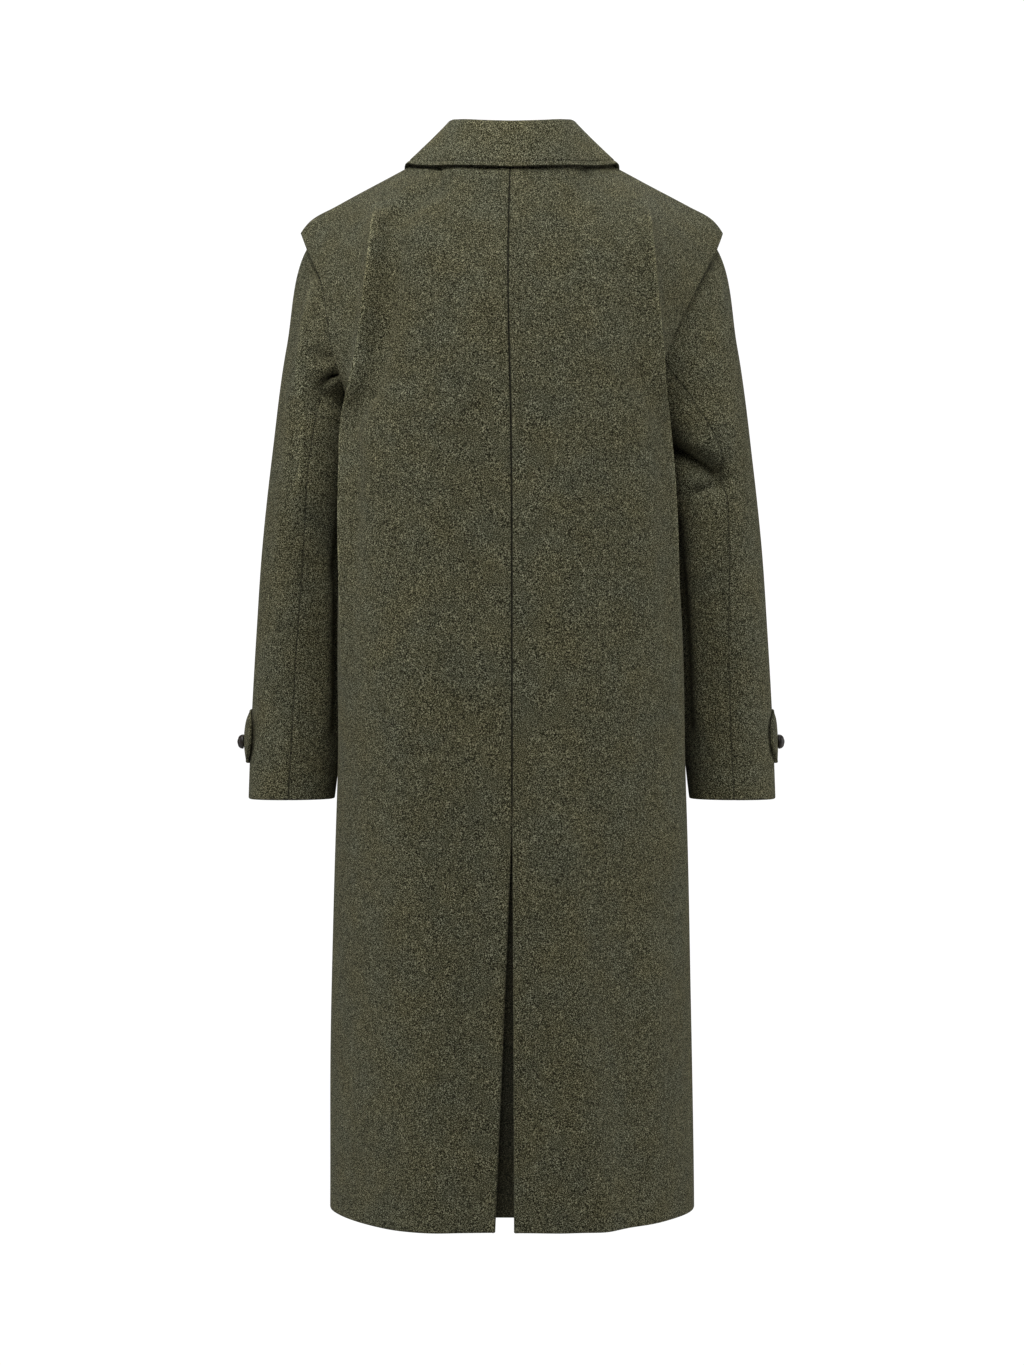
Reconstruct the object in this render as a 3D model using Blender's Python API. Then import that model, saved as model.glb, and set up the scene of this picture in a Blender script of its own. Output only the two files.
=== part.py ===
"""Long wool overcoat, hollow as if worn, with an inverted pleat down the centre of the back.

Metres, +Z up. The origin is on the centre line, level with the collar's edge on the shoulders.
The front faces -Y and the wearer's left is +X. Every cloth piece is a wall whose outer points come from
sections of the garment, and whose inner points are those moved in by the thickness of the cloth.
"""

import math

import bmesh
import bpy
import numpy as np
from mathutils import Vector

# Cloth and seams
CLOTH = 0.0024
COLLAR_CLOTH = 0.0032
TAB_CLOTH = 0.0030
SEAM_GAP = 0.0003

# Heights, and points within the garment that its outer faces look away from
HEM_Z = -1.145
UNDERARM_Z = -0.285
BODY_MIDDLE = (0.0, 0.0, -0.400)
ARM_MIDDLE_X = 0.150
ARM_MIDDLE_Z = -0.200

# Body sections below the armholes: superellipses, narrower on the right where the coat is drawn in.
# The arm presses the side in by the tuck.
SECTION_COLUMNS = ("z", "half_left", "half_right", "back", "front", "back_square", "front_square", "tuck")
SECTIONS = (
    (HEM_Z, 0.1997, 0.1997, 0.160, 0.150, 1.75, 2.10, 0.000),
    (-0.917, 0.1964, 0.1964, 0.158, 0.148, 2.05, 2.20, 0.000),
    (-0.690, 0.1942, 0.1942, 0.156, 0.145, 2.50, 2.40, 0.004),
    (-0.560, 0.1945, 0.1918, 0.154, 0.142, 3.00, 2.70, 0.010),
    (-0.436, 0.1905, 0.1828, 0.152, 0.139, 3.60, 2.90, 0.010),
    (-0.345, 0.1855, 0.1738, 0.150, 0.136, 4.00, 3.10, 0.010),
    (UNDERARM_Z, 0.1812, 0.1672, 0.149, 0.134, 4.20, 3.20, 0.010),
)
TUCK_DEPTH_SHARE = 0.55

# Rows across the back and the fronts above the underarm. Each runs from the centre line, over the ridge
# where the cloth turns towards the arm, to the free edge that lies over the sleeve.
YOKE_COLUMNS = (
    "level", "square", "centre_y", "centre_z", "ridge_x", "ridge_y", "ridge_z", "edge_x", "edge_y", "edge_z"
)
YOKE_BACK_LEFT = (
    (-0.252, 3.8, 0.1480, -0.252, 0.1680, 0.1100, -0.252, 0.1790, 0.0750, -0.256),
    (-0.215, 3.2, 0.1455, -0.215, 0.1615, 0.1125, -0.213, 0.1920, 0.0870, -0.214),
    (-0.150, 2.7, 0.1360, -0.150, 0.1535, 0.1130, -0.150, 0.2040, 0.0700, -0.145),
    (-0.090, 2.4, 0.1160, -0.090, 0.1475, 0.1000, -0.092, 0.2170, 0.0400, -0.113),
)
YOKE_BACK_RIGHT = (
    (-0.252, 3.8, 0.1480, -0.252, 0.1575, 0.1085, -0.252, 0.1540, 0.0690, -0.256),
    (-0.215, 3.2, 0.1455, -0.215, 0.1560, 0.1110, -0.213, 0.1670, 0.0820, -0.213),
    (-0.150, 2.7, 0.1360, -0.150, 0.1515, 0.1120, -0.150, 0.1950, 0.0680, -0.153),
    (-0.090, 2.4, 0.1160, -0.090, 0.1470, 0.1000, -0.092, 0.2140, 0.0390, -0.117),
)
YOKE_FRONT = (
    (-0.252, 3.0, 0.1325, -0.252, 0.1540, 0.0945, -0.252, 0.1730, 0.0600, -0.254),
    (-0.215, 2.8, 0.1300, -0.215, 0.1500, 0.0945, -0.213, 0.1770, 0.0700, -0.212),
    (-0.150, 2.6, 0.1190, -0.155, 0.1445, 0.0905, -0.150, 0.1920, 0.0610, -0.152),
    (-0.090, 2.4, 0.1000, -0.105, 0.1420, 0.0745, -0.092, 0.2130, 0.0380, -0.116),
)
TOP_LEVEL = 0.0
RIDGE_SHARE = 0.72
BACK_SHARES = (0.49, 0.56, 0.61, 0.65, 0.685, RIDGE_SHARE, 0.755, 0.80, 0.86, 0.93)
FRONT_SHARES = (0.54, 0.63, RIDGE_SHARE, 0.79, 0.86, 0.93)
RIDGE_DEPTH_SHARE = 0.60

# Neckline and shoulder seam
NECK_HALF = 0.074
NECK_BACK_Y = 0.060
NECK_FRONT_Y = 0.082
NECK_BACK_Z = 0.003
NECK_SIDE_Z = 0.021
NECK_FRONT_Z = -0.062
SHOULDER_COLUMNS = ("x", "z")
SHOULDER_LINE = (
    (NECK_HALF, NECK_SIDE_Z),
    (0.112, 0.0000),
    (0.146, -0.0185),
    (0.195, -0.0450),
    (0.2240, -0.0630),
    (0.2325, -0.0745),
)
SHOULDER_RIDGE_X = 0.146

# Centre-back pleat
PLEAT_TOP_Z = -0.235
PLEAT_TOP_FADE = 0.050
PLEAT_PULL_SHARE = 0.43
PLEAT_FOLD_RADIUS = 0.003
PLEAT_RETURN = 0.056
SEAM_ALLOWANCE = 0.012
PLEAT_OPENS_Z = -0.720
PLEAT_OPENING = {1: 0.0175, -1: 0.0020}
PLEAT_DEPTH_TOP = 0.0066
PLEAT_DEPTH_HEM = 0.0380
PLEAT_DEEPENS_Z = -0.450
UNDERLAY_HALF = 0.062
UNDERLAY_HEM_RISE = 0.012
UNDERLAY_TOP_DROP = 0.010
UNDERLAY_BOW = 0.0035
CENTRE_SEAM_COLUMNS = ("z", "x")
CENTRE_SEAM = ((HEM_Z, 0.0), (-0.60, 0.0), (-0.30, 0.0010), (-0.14, 0.0040), (0.0, 0.0015))

# Long soft folds of the back, as ridges that run down the cloth.
FOLD_COLUMNS = ("top_x", "top_z", "low_x", "low_z", "half_width", "rise")
BACK_FOLDS = (
    (-0.055, -0.060, -0.068, -0.600, 0.016, 0.0035),
    (-0.082, -0.560, -0.112, -1.300, 0.028, 0.0060),
    (-0.150, -0.780, -0.140, -1.300, 0.022, 0.0050),
    (0.135, -0.420, 0.145, -1.300, 0.034, 0.0055),
    (0.075, -0.480, 0.082, -1.300, 0.030, -0.0045),
    (-0.040, -0.700, -0.050, -1.300, 0.026, -0.0040),
)
FRONT_FOLDS = (
    (0.105, -0.300, 0.118, -1.300, 0.030, 0.0055),
    (-0.105, -0.340, -0.122, -1.300, 0.034, 0.0055),
    (0.062, -0.480, 0.066, -1.300, 0.026, -0.0040),
    (-0.060, -0.420, -0.068, -1.300, 0.026, -0.0040),
)
FOLD_FADE = 0.16

# The rolled edge of the back beside each arm: a ridge, and the hollow that follows it towards the centre.
RIDGE_RISE = {1: 0.0045, -1: 0.0035}
RIDGE_HALF_WIDTH = 0.009
HOLLOW_DROP = {1: 0.0065, -1: 0.0030}
HOLLOW_AWAY = 0.027
HOLLOW_HALF_WIDTH = 0.015
RIDGE_TOP_Z = -0.040
RIDGE_FULL_Z = -0.085
RIDGE_FADES_Z = -0.340
RIDGE_END_Z = -0.620

# Sleeve rings, each an ellipse through an outer and an inner point, and the angles of the two seams on it.
SLEEVE_COLUMNS = (
    "outer_x", "outer_z", "inner_x", "inner_z", "middle_y", "half_depth", "back_seam", "front_seam"
)
SLEEVE_LEFT = (
    (0.2925, -0.697, 0.1970, -0.697, -0.030, 0.0500, 90.0, 245.0),
    (0.2885, -0.612, 0.1885, -0.612, -0.022, 0.0515, 89.0, 245.0),
    (0.2815, -0.512, 0.1862, -0.512, -0.008, 0.0550, 92.0, 245.0),
    (0.2735, -0.413, 0.1822, -0.420, 0.003, 0.0600, 95.0, 245.0),
    (0.2630, -0.318, 0.1780, -0.352, 0.004, 0.0635, 92.0, 245.0),
    (0.2472, -0.200, 0.1750, -0.306, 0.004, 0.0640, 99.0, 245.0),
)
SLEEVE_RIGHT = (
    (0.2925, -0.697, 0.1970, -0.697, -0.030, 0.0500, 92.0, 245.0),
    (0.2885, -0.612, 0.1880, -0.612, -0.022, 0.0515, 90.0, 245.0),
    (0.2815, -0.512, 0.1828, -0.512, -0.008, 0.0550, 87.0, 245.0),
    (0.2735, -0.413, 0.1745, -0.420, 0.003, 0.0600, 78.0, 245.0),
    (0.2630, -0.318, 0.1665, -0.352, 0.004, 0.0635, 76.0, 245.0),
    (0.2472, -0.200, 0.1615, -0.306, 0.004, 0.0640, 102.0, 245.0),
)
SLEEVE_MEAN_RADIUS = 0.05
ARMHOLE_SEAM = 108.0
SLEEVE_EDGE_CLEARANCE = 0.0034
SLEEVE_UNDERARM_DROP = 0.0130
TIP_ROUNDING = 12.0
TIP_REACH = 24.0
SLEEVE_TIP_ANGLE = 28.0
SLEEVE_TIP_SHIFT = (-0.0030, 0.0, -0.0050)
SLEEVE_TOP_SHARE = 0.90
SLEEVE_TOP_CLEARANCE = 0.0016
SLEEVE_FREE_FROM = 112.0
SLEEVE_FREE_TO = 145.0
SLEEVE_FREE_SHIFT = (-0.012, 0.0, 0.012)
# Drag folds of the sleeves: troughs between two places, each an angle round the sleeve and a height.
SLEEVE_FOLD_COLUMNS = ("angle_a", "z_a", "angle_b", "z_b", "half_width", "rise")
SLEEVE_FOLDS = {
    1: (
        (100.0, -0.265, 128.0, -0.235, 0.016, -0.0050),
        (58.0, -0.140, 62.0, -0.420, 0.012, 0.0030),
        (110.0, -0.400, 140.0, -0.440, 0.024, -0.0050),
    ),
    -1: (
        (88.0, -0.343, 150.0, -0.305, 0.015, -0.0110),
        (78.0, -0.352, 112.0, -0.366, 0.012, -0.0040),
        (100.0, -0.305, 150.0, -0.265, 0.020, 0.0050),
        (40.0, -0.120, 30.0, -0.180, 0.010, 0.0025),
    ),
}

# Collar: the fold at its top and its free edge, by the angle from the centre of the back.
COLLAR_COLUMNS = ("angle", "fold_x", "fold_y", "fold_z", "edge_x", "edge_y", "edge_z")
COLLAR_LEFT = (
    (0.0, 0.0000, 0.0600, 0.0378, 0.0000, 0.0772, -0.0148),
    (30.0, 0.0350, 0.0530, 0.0402, 0.0466, 0.0709, -0.0122),
    (45.0, 0.0481, 0.0431, 0.0429, 0.0702, 0.0563, -0.0092),
    (60.0, 0.0580, 0.0300, 0.0455, 0.0897, 0.0347, -0.0058),
    (75.0, 0.0647, 0.0144, 0.0480, 0.1058, 0.0192, -0.0020),
    (90.0, 0.0675, -0.0030, 0.0475, 0.1169, 0.0034, 0.0020),
    (120.0, 0.0600, -0.0400, 0.0125, 0.1125, -0.0370, -0.0268),
    (150.0, 0.0360, -0.0735, -0.0315, 0.0858, -0.0930, -0.0922),
    (172.0, 0.0115, -0.0865, -0.0485, 0.0605, -0.1060, -0.1133),
)
COLLAR_END_ANGLE = 172.0
COLLAR_FOLD_RADIUS = 0.0045
COLLAR_LAP = 0.008
STAND_INSET = 0.0018
STAND_RISE = 0.0012

# Cuff tabs and buttons. A tab bows off the sleeve by the lift, which differs between left (1) and right (-1).
TAB_Z = -0.6275
TAB_HALF_WIDTH = 0.030
TAB_START_ANGLE = -112.0
TAB_END_ANGLE = 31.0
TAB_ROUND_ANGLE = 0.0
TAB_LIFT = {1: 0.0040, -1: 0.0016}
TAB_REST = 0.0005
TAB_ACROSS = np.array([-1.0, -0.6, -0.2, 0.2, 0.6, 1.0])
CUFF_BUTTON_ANGLE = 4.0
CUFF_BUTTON_ACROSS = -0.2
CUFF_BUTTON_RADIUS = 0.0080
CUFF_BUTTON_HEIGHT = 0.0078
FRONT_BUTTON_RADIUS = 0.0130
FRONT_BUTTON_HEIGHT = 0.0085
FRONT_BUTTON_TOP_Z = -0.112
FRONT_BUTTON_STEP = 0.128
FRONT_BUTTON_COUNT = 5
BUTTON_REST = 0.0004
BUTTON_SIDES = 14

# Front closing: the right front lies over the left.
OVERLAP = 0.028
UNDERLAP_TUCK = 0.0032
UNDERLAP_RAMP = 0.050

# Colours, as linear red, green and blue
LODEN_COLOUR = (0.062, 0.061, 0.038, 1.0)
LODEN_SHADE = (0.050, 0.049, 0.031, 1.0)
BUTTON_COLOUR = (0.018, 0.013, 0.009, 1.0)


def table(columns, rows):
    """The rows of a table as one array for each named column."""
    return dict(zip(columns, np.array(rows, float).T))


def arc_lengths(points):
    """Distance along a line of points, from its first one."""
    steps = np.linalg.norm(np.diff(points, axis=0), axis=1)
    return np.concatenate([[0.0], np.cumsum(steps)])


def smooth(knots, values, at):
    """A smooth curve through values at knots, read at other places. Values may hold points or rows."""
    knots = np.asarray(knots, float)
    values = np.asarray(values, float)
    at = np.clip(np.asarray(at, float), knots[0], knots[-1])
    spread = (-1,) + (1,) * (values.ndim - 1)
    gaps = np.diff(knots).reshape(spread)
    slopes = np.diff(values, axis=0) / gaps
    tangents = np.empty_like(values)
    tangents[1:-1] = (gaps[1:] * slopes[:-1] + gaps[:-1] * slopes[1:]) / (gaps[:-1] + gaps[1:])
    tangents[0] = 2 * slopes[0] - tangents[1] if len(knots) > 2 else slopes[0]
    tangents[-1] = 2 * slopes[-1] - tangents[-2] if len(knots) > 2 else slopes[-1]
    span = np.clip(np.searchsorted(knots, at, side="right") - 1, 0, len(knots) - 2)
    width = (knots[span + 1] - knots[span]).reshape(spread)
    t = (at - knots[span]).reshape(spread) / width
    return (
        (1 + 2 * t) * (1 - t) ** 2 * values[span]
        + t * (1 - t) ** 2 * width * tangents[span]
        + t * t * (3 - 2 * t) * values[span + 1]
        + t * t * (t - 1) * width * tangents[span + 1]
    )


def read_line(points, arcs):
    """Points at these distances along a line; a negative distance is mirrored across the centre plane."""
    lengths = arc_lengths(points)
    found = np.stack([np.interp(np.abs(arcs), lengths, points[:, k]) for k in range(3)], axis=1)
    found[:, 0] *= np.where(arcs < 0, -1.0, 1.0)
    return found


def shared_row(points, ridge_index, shares):
    """A row read at shares of its length, with the ridge at the same share on every row.

    A negative share is a distance past the centre line instead.
    """
    lengths = arc_lengths(points)
    arcs = np.interp(shares, [0.0, RIDGE_SHARE, 1.0], [0.0, lengths[ridge_index], lengths[-1]])
    arcs = np.where(shares < 0, shares, arcs)
    return read_line(points, arcs)


def section_line(z, half, depth, square, tuck):
    """A quarter of a body section, from the centre line to the side seam."""
    ridge_y = RIDGE_DEPTH_SHARE * depth
    ridge_x = half * (1 - RIDGE_DEPTH_SHARE**square) ** (1 / square)
    ridge_angle = math.atan2(ridge_x, ridge_y)
    inward = np.linspace(0, ridge_angle, 60)
    sideward = np.linspace(ridge_angle, math.pi / 2, 40)[1:]
    angles = np.concatenate([inward, sideward])
    across, along = np.sin(angles), np.cos(angles)
    reach = ((across / half) ** square + (np.abs(along) / depth) ** square) ** (-1 / square)
    x, y = reach * across, np.abs(reach * along)
    x = x - tuck * np.clip(1 - (y / (TUCK_DEPTH_SHARE * depth)) ** 2, 0.0, 1.0) ** 2
    return np.stack([x, y, np.full_like(angles, z)], axis=1), len(inward) - 1


def yoke_line(row):
    """One row above the underarm, through its centre, ridge and edge points."""
    centre = np.array([0.0, row["centre_y"], row["centre_z"]])
    ridge = np.array([row["ridge_x"], row["ridge_y"], row["ridge_z"]])
    edge = np.array([row["edge_x"], row["edge_y"], row["edge_z"]])
    guide = []
    for share in (0.0, 0.3, 0.6, 0.85):
        fall = np.array([share, share ** row["square"], share**2])
        guide.append(centre + (ridge - centre) * fall)
    turn = len(guide)
    for share in (0.0, 0.25, 0.6, 1.0):
        guide.append(ridge + (edge - ridge) * share)
    guide = np.array(guide)
    knots = arc_lengths(guide)
    inward = np.linspace(0, knots[turn], 60)
    sideward = np.linspace(knots[turn], knots[-1], 40)[1:]
    return smooth(knots, guide, np.concatenate([inward, sideward])), len(inward) - 1


def neck_point(angle):
    """The neckline at an angle in degrees from the centre of the back, on the wearer's left."""
    turn = math.radians(angle)
    x = NECK_HALF * math.sin(turn)
    if angle <= 90:
        rise = math.sin(turn) ** 2
        return np.array([x, NECK_BACK_Y * math.cos(turn), NECK_BACK_Z + (NECK_SIDE_Z - NECK_BACK_Z) * rise])
    drop = math.sin(turn - math.pi / 2) ** 1.4
    return np.array([x, NECK_FRONT_Y * math.cos(turn), NECK_SIDE_Z + (NECK_FRONT_Z - NECK_SIDE_Z) * drop])


def top_line(front):
    """The neckline from the centre to the shoulder, then the shoulder seam to its tip."""
    angles = np.linspace(180, 90, 40) if front else np.linspace(0, 90, 40)
    neck = np.array([neck_point(angle) for angle in angles])
    neck[:, 1] = np.abs(neck[:, 1])
    seam = table(SHOULDER_COLUMNS, SHOULDER_LINE)
    shoulder = np.stack([seam["x"], 0 * seam["x"], seam["z"]], axis=1)
    knots = arc_lengths(shoulder)
    ridge_knot = float(np.interp(SHOULDER_RIDGE_X, seam["x"], knots))
    inward = np.linspace(0, ridge_knot, 30)[1:]
    sideward = np.linspace(ridge_knot, knots[-1], 40)[1:]
    line = np.concatenate([neck, smooth(knots, shoulder, np.concatenate([inward, sideward]))])
    return line, len(neck) + len(inward) - 1


def neck_share(front):
    """The share of the top row at which the neckline meets the shoulder seam."""
    line, ridge_index = top_line(front)
    lengths = arc_lengths(line)
    corner = int(np.argmin(np.linalg.norm(line - neck_point(90.0), axis=1)))
    return RIDGE_SHARE * lengths[corner] / lengths[ridge_index]


def body_surface(side, front, shares, levels):
    """Outer points of a half of the front or back: one row for each level, one column for each share."""
    sections = table(SECTION_COLUMNS, SECTIONS)
    half = sections["half_left"] if side > 0 else sections["half_right"]
    depth = sections["front"] if front else sections["back"]
    square = sections["front_square"] if front else sections["back_square"]
    rows = []
    for values in zip(sections["z"], half, depth, square, sections["tuck"]):
        rows.append(shared_row(*section_line(*values), shares))
    yoke = YOKE_FRONT if front else (YOKE_BACK_LEFT if side > 0 else YOKE_BACK_RIGHT)
    for values in yoke:
        rows.append(shared_row(*yoke_line(dict(zip(YOKE_COLUMNS, values))), shares))
    rows.append(shared_row(*top_line(front), shares))
    heights = [*sections["z"], *(values[0] for values in yoke), TOP_LEVEL]
    points = smooth(heights, np.array(rows), levels)
    points[..., 1] *= -1 if front else 1
    points[..., 0] *= side
    return points


def fade(values, start, end):
    """0 before start, 1 after end, with a soft change between them."""
    t = np.clip((values - start) / (end - start), 0.0, 1.0)
    return t * t * (3 - 2 * t)


def normals_of(points):
    """Unit normals of a grid of points."""
    down = np.gradient(points, axis=0)
    across = np.gradient(points, axis=1)
    normal = np.cross(across, down)
    return normal / np.linalg.norm(normal, axis=2, keepdims=True)


def facing_out(points, normal, middle):
    """The normals, turned if need be to point away from a point within the garment."""
    away = np.sum(normal * (points - np.array(middle)), axis=2)
    return normal if away.sum() > 0 else -normal


def folded(points, normal, folds):
    """A panel's points moved along their normals by its long folds."""
    rise = np.zeros(points.shape[:2])
    x, z = points[..., 0], points[..., 2]
    for values in folds:
        fold = dict(zip(FOLD_COLUMNS, values))
        share = (z - fold["top_z"]) / (fold["low_z"] - fold["top_z"])
        middle = fold["top_x"] + (fold["low_x"] - fold["top_x"]) * share
        within = fade(-z, -fold["top_z"], FOLD_FADE - fold["top_z"])
        within *= 1 - fade(-z, -fold["low_z"] - FOLD_FADE, -fold["low_z"])
        rise += fold["rise"] * within * np.exp(-(((x - middle) / fold["half_width"]) ** 2))
    return points + normal * rise[..., None]


def ridged(points, normal, shares, side):
    """A back panel's points moved along their normals by the ridge beside the arm and its hollow."""
    column = int(np.argmin(np.abs(shares - RIDGE_SHARE)))
    away = np.stack([arc_lengths(row) for row in points])
    away = away - away[:, column : column + 1]
    z = points[:, column, 2]
    strength = fade(-z, -RIDGE_TOP_Z, -RIDGE_FULL_Z) * (1 - fade(-z, -RIDGE_FADES_Z, -RIDGE_END_Z))
    rise = RIDGE_RISE[side] * np.exp(-((away / RIDGE_HALF_WIDTH) ** 2))
    rise -= HOLLOW_DROP[side] * np.exp(-(((away + HOLLOW_AWAY) / HOLLOW_HALF_WIDTH) ** 2))
    return points + normal * (rise * strength[:, None])[..., None]


def remove_everything():
    """An empty scene to start from."""
    for old in list(bpy.data.objects):
        bpy.data.objects.remove(old)


def material(name, colour, roughness):
    """A plain cloth or leather finish."""
    made = bpy.data.materials.new(name)
    made.use_nodes = True
    shader = made.node_tree.nodes["Principled BSDF"]
    shader.inputs["Base Color"].default_value = colour
    shader.inputs["Roughness"].default_value = roughness
    shader.inputs["Metallic"].default_value = 0.0
    return made


def add_object(name, mesh, finish):
    """A named object for one piece of the coat."""
    mesh.materials.append(finish)
    made = bpy.data.objects.new(name, mesh)
    bpy.context.scene.collection.objects.link(made)
    return made


def wall(name, outer, inner, finish):
    """One closed solid between two grids of points, with a rim round all four sides."""
    rows, columns = outer.shape[:2]
    shape = bmesh.new()
    faces_of = [[[shape.verts.new(p) for p in row] for row in grid] for grid in (outer, inner)]
    front, back = faces_of
    for i in range(rows - 1):
        for j in range(columns - 1):
            shape.faces.new((front[i][j], front[i][j + 1], front[i + 1][j + 1], front[i + 1][j]))
            shape.faces.new((back[i][j], back[i + 1][j], back[i + 1][j + 1], back[i][j + 1]))
    border = [(0, j) for j in range(columns - 1)]
    border += [(i, columns - 1) for i in range(rows - 1)]
    border += [(rows - 1, j) for j in range(columns - 1, 0, -1)]
    border += [(i, 0) for i in range(rows - 1, 0, -1)]
    for (i, j), (k, m) in zip(border, border[1:] + border[:1]):
        shape.faces.new((front[i][j], back[i][j], back[k][m], front[k][m]))
    bmesh.ops.triangulate(shape, faces=shape.faces[:])
    if shape.calc_volume(signed=True) < 0:
        bmesh.ops.reverse_faces(shape, faces=shape.faces[:])
    mesh = bpy.data.meshes.new(name)
    shape.to_mesh(mesh)
    shape.free()
    mesh.shade_smooth()
    mesh.set_sharp_from_angle(angle=math.radians(50))
    return add_object(name, mesh, finish)


def panel_levels(steps_below, steps_above):
    """Levels of a body panel's rows, from the hem to the shoulder."""
    below = np.linspace(HEM_Z, UNDERARM_Z, steps_below + 1)
    above = UNDERARM_Z + (TOP_LEVEL - UNDERARM_Z) * (1 - np.linspace(1, 0, steps_above + 1)[1:] ** 1.35)
    return np.concatenate([below, above])


def seam_normals(normal, shares, levels, front):
    """Normals laid into the seam plane at the side and shoulder seams, so that walls don't cross there."""
    turned = normal.copy()
    turned[levels <= UNDERARM_Z + 1e-9, -1, 1] = 0.0
    turned[-1, shares >= neck_share(front) - 1e-9, 1] = 0.0
    return turned / np.linalg.norm(turned, axis=2, keepdims=True)


def part_at_seams(points, shares, levels, front):
    """Moves the side seam's and shoulder seam's points half a seam gap off the seam plane."""
    step = -SEAM_GAP / 2 if front else SEAM_GAP / 2
    points[levels <= UNDERARM_Z + 1e-9, -1, 1] += step
    points[-1, shares >= neck_share(front) - 1e-9, 1] += step
    return points


def body_shares(front):
    """Shares across a half panel, closer at the ridge, with one at the neck corner."""
    neck = neck_share(front)
    inner = np.linspace(0, neck, 6)
    outer = FRONT_SHARES if front else BACK_SHARES
    return np.concatenate([inner, outer, [1.0]])


def pleat_depth(z):
    """How far behind the back the pleat's inner layer hangs."""
    share = np.clip((PLEAT_DEEPENS_Z - z) / (PLEAT_DEEPENS_Z - HEM_Z), 0.0, 1.0)
    return PLEAT_DEPTH_TOP + (PLEAT_DEPTH_HEM - PLEAT_DEPTH_TOP) * share**1.3


def centre_x(z):
    """The centre-back seam's small wander across the back."""
    seam = table(CENTRE_SEAM_COLUMNS, CENTRE_SEAM)
    return smooth(seam["z"], seam["x"], z)


def back_points(side, levels):
    """Outer points of one back panel with its pleat fold, its shares, and how many columns the fold takes."""
    shares = body_shares(False)
    points = body_surface(side, False, shares, levels)
    normal = facing_out(points, normals_of(points), BODY_MIDDLE)
    points = ridged(folded(points, normal, BACK_FOLDS), normal, shares, side)
    points = part_at_seams(points, shares, levels, False)
    z = points[:, 0, 2]
    opening = PLEAT_OPENING[side] * np.clip((PLEAT_OPENS_Z - z) / (PLEAT_OPENS_Z - HEM_Z), 0.0, 1.0)
    start = side * centre_x(z) + SEAM_GAP / 2 + opening + PLEAT_FOLD_RADIUS
    near = np.clip(1 - shares / PLEAT_PULL_SHARE, 0.0, 1.0) ** 2
    points[..., 0] += side * start[:, None] * near[None, :]
    fold = []
    across = np.array([-side, 0.0, 0.0])
    behind = np.array([0.0, 1.0, 0.0])
    middle = points[:, 0] - PLEAT_FOLD_RADIUS * behind
    for angle in np.radians([180.0, 135.0, 90.0, 45.0]):
        fold.append(middle + PLEAT_FOLD_RADIUS * (math.sin(angle) * across + math.cos(angle) * behind))
    sewn = fade(z, PLEAT_TOP_Z, PLEAT_TOP_Z + PLEAT_TOP_FADE)
    length = PLEAT_RETURN + (SEAM_ALLOWANCE - PLEAT_RETURN) * sewn
    drop = (pleat_depth(z) - 2 * PLEAT_FOLD_RADIUS) * (1 - sewn)
    returned = []
    for share in (1.0, 0.65, 0.3):
        shift = -share * length[:, None] * across - share * drop[:, None] * behind
        returned.append(fold[0] + shift)
    columns = np.stack(returned + fold, axis=1)
    return np.concatenate([columns, points], axis=1), shares, columns.shape[1]


def back_panel(side, name, finish):
    """One half of the back, from its side seam to the fold of the pleat and on into the pleat."""
    levels = panel_levels(12, 10)
    points, shares, extra = back_points(side, levels)
    normal = normals_of(points)
    main = facing_out(points[:, extra:], normal[:, extra:], BODY_MIDDLE)
    if np.sum(main * normal[:, extra:]) < 0:
        normal = -normal
    normal[:, extra:] = seam_normals(normal[:, extra:], shares, levels, False)
    inner = points - CLOTH * normal
    inner[..., 1] = np.maximum(inner[..., 1], SEAM_GAP / 2)
    return wall(name, points, inner, finish)


def pleat_underlay(finish):
    """The inner layer of the pleat, behind the two folds."""
    levels = np.linspace(HEM_Z + UNDERLAY_HEM_RISE, PLEAT_TOP_Z - UNDERLAY_TOP_DROP, 13)
    across = np.linspace(-UNDERLAY_HALF, UNDERLAY_HALF, 7)
    centre = body_surface(1, False, np.array([0.0]), levels)[:, 0]
    depth = pleat_depth(levels) + SEAM_GAP
    outer = np.zeros((len(levels), len(across), 3))
    outer[..., 0] = across[None, :]
    outer[..., 1] = (centre[:, 1] - depth)[:, None] - UNDERLAY_BOW * (across / UNDERLAY_HALF)[None, :] ** 2
    outer[..., 2] = levels[:, None]
    normal = normals_of(outer)
    normal *= np.sign(normal[..., 1:2])
    return wall("pleat_underlay", outer, outer - CLOTH * normal, finish)


def front_points(side, levels):
    """Outer points of one front, from its free edge past the centre line to the side seam."""
    shares = np.concatenate([[-OVERLAP, -OVERLAP / 2], body_shares(True)])
    points = body_surface(side, True, shares, levels)
    normal = facing_out(points, normals_of(points), BODY_MIDDLE)
    points = part_at_seams(folded(points, normal, FRONT_FOLDS), shares, levels, True)
    if side > 0:
        tuck = UNDERLAP_TUCK * (1 - fade(points[..., 0], OVERLAP, OVERLAP + UNDERLAP_RAMP))
        points = points - normal * tuck[..., None]
    return points, shares


def front_panel(side, name, finish):
    """One front, whose free edge laps past the centre line."""
    levels = panel_levels(12, 10)
    points, shares = front_points(side, levels)
    normal = facing_out(points, normals_of(points), BODY_MIDDLE)
    normal = seam_normals(normal, shares, levels, True)
    inner = points - CLOTH * normal
    inner[..., 1] = np.minimum(inner[..., 1], -SEAM_GAP / 2)
    return wall(name, points, inner, finish)


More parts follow.
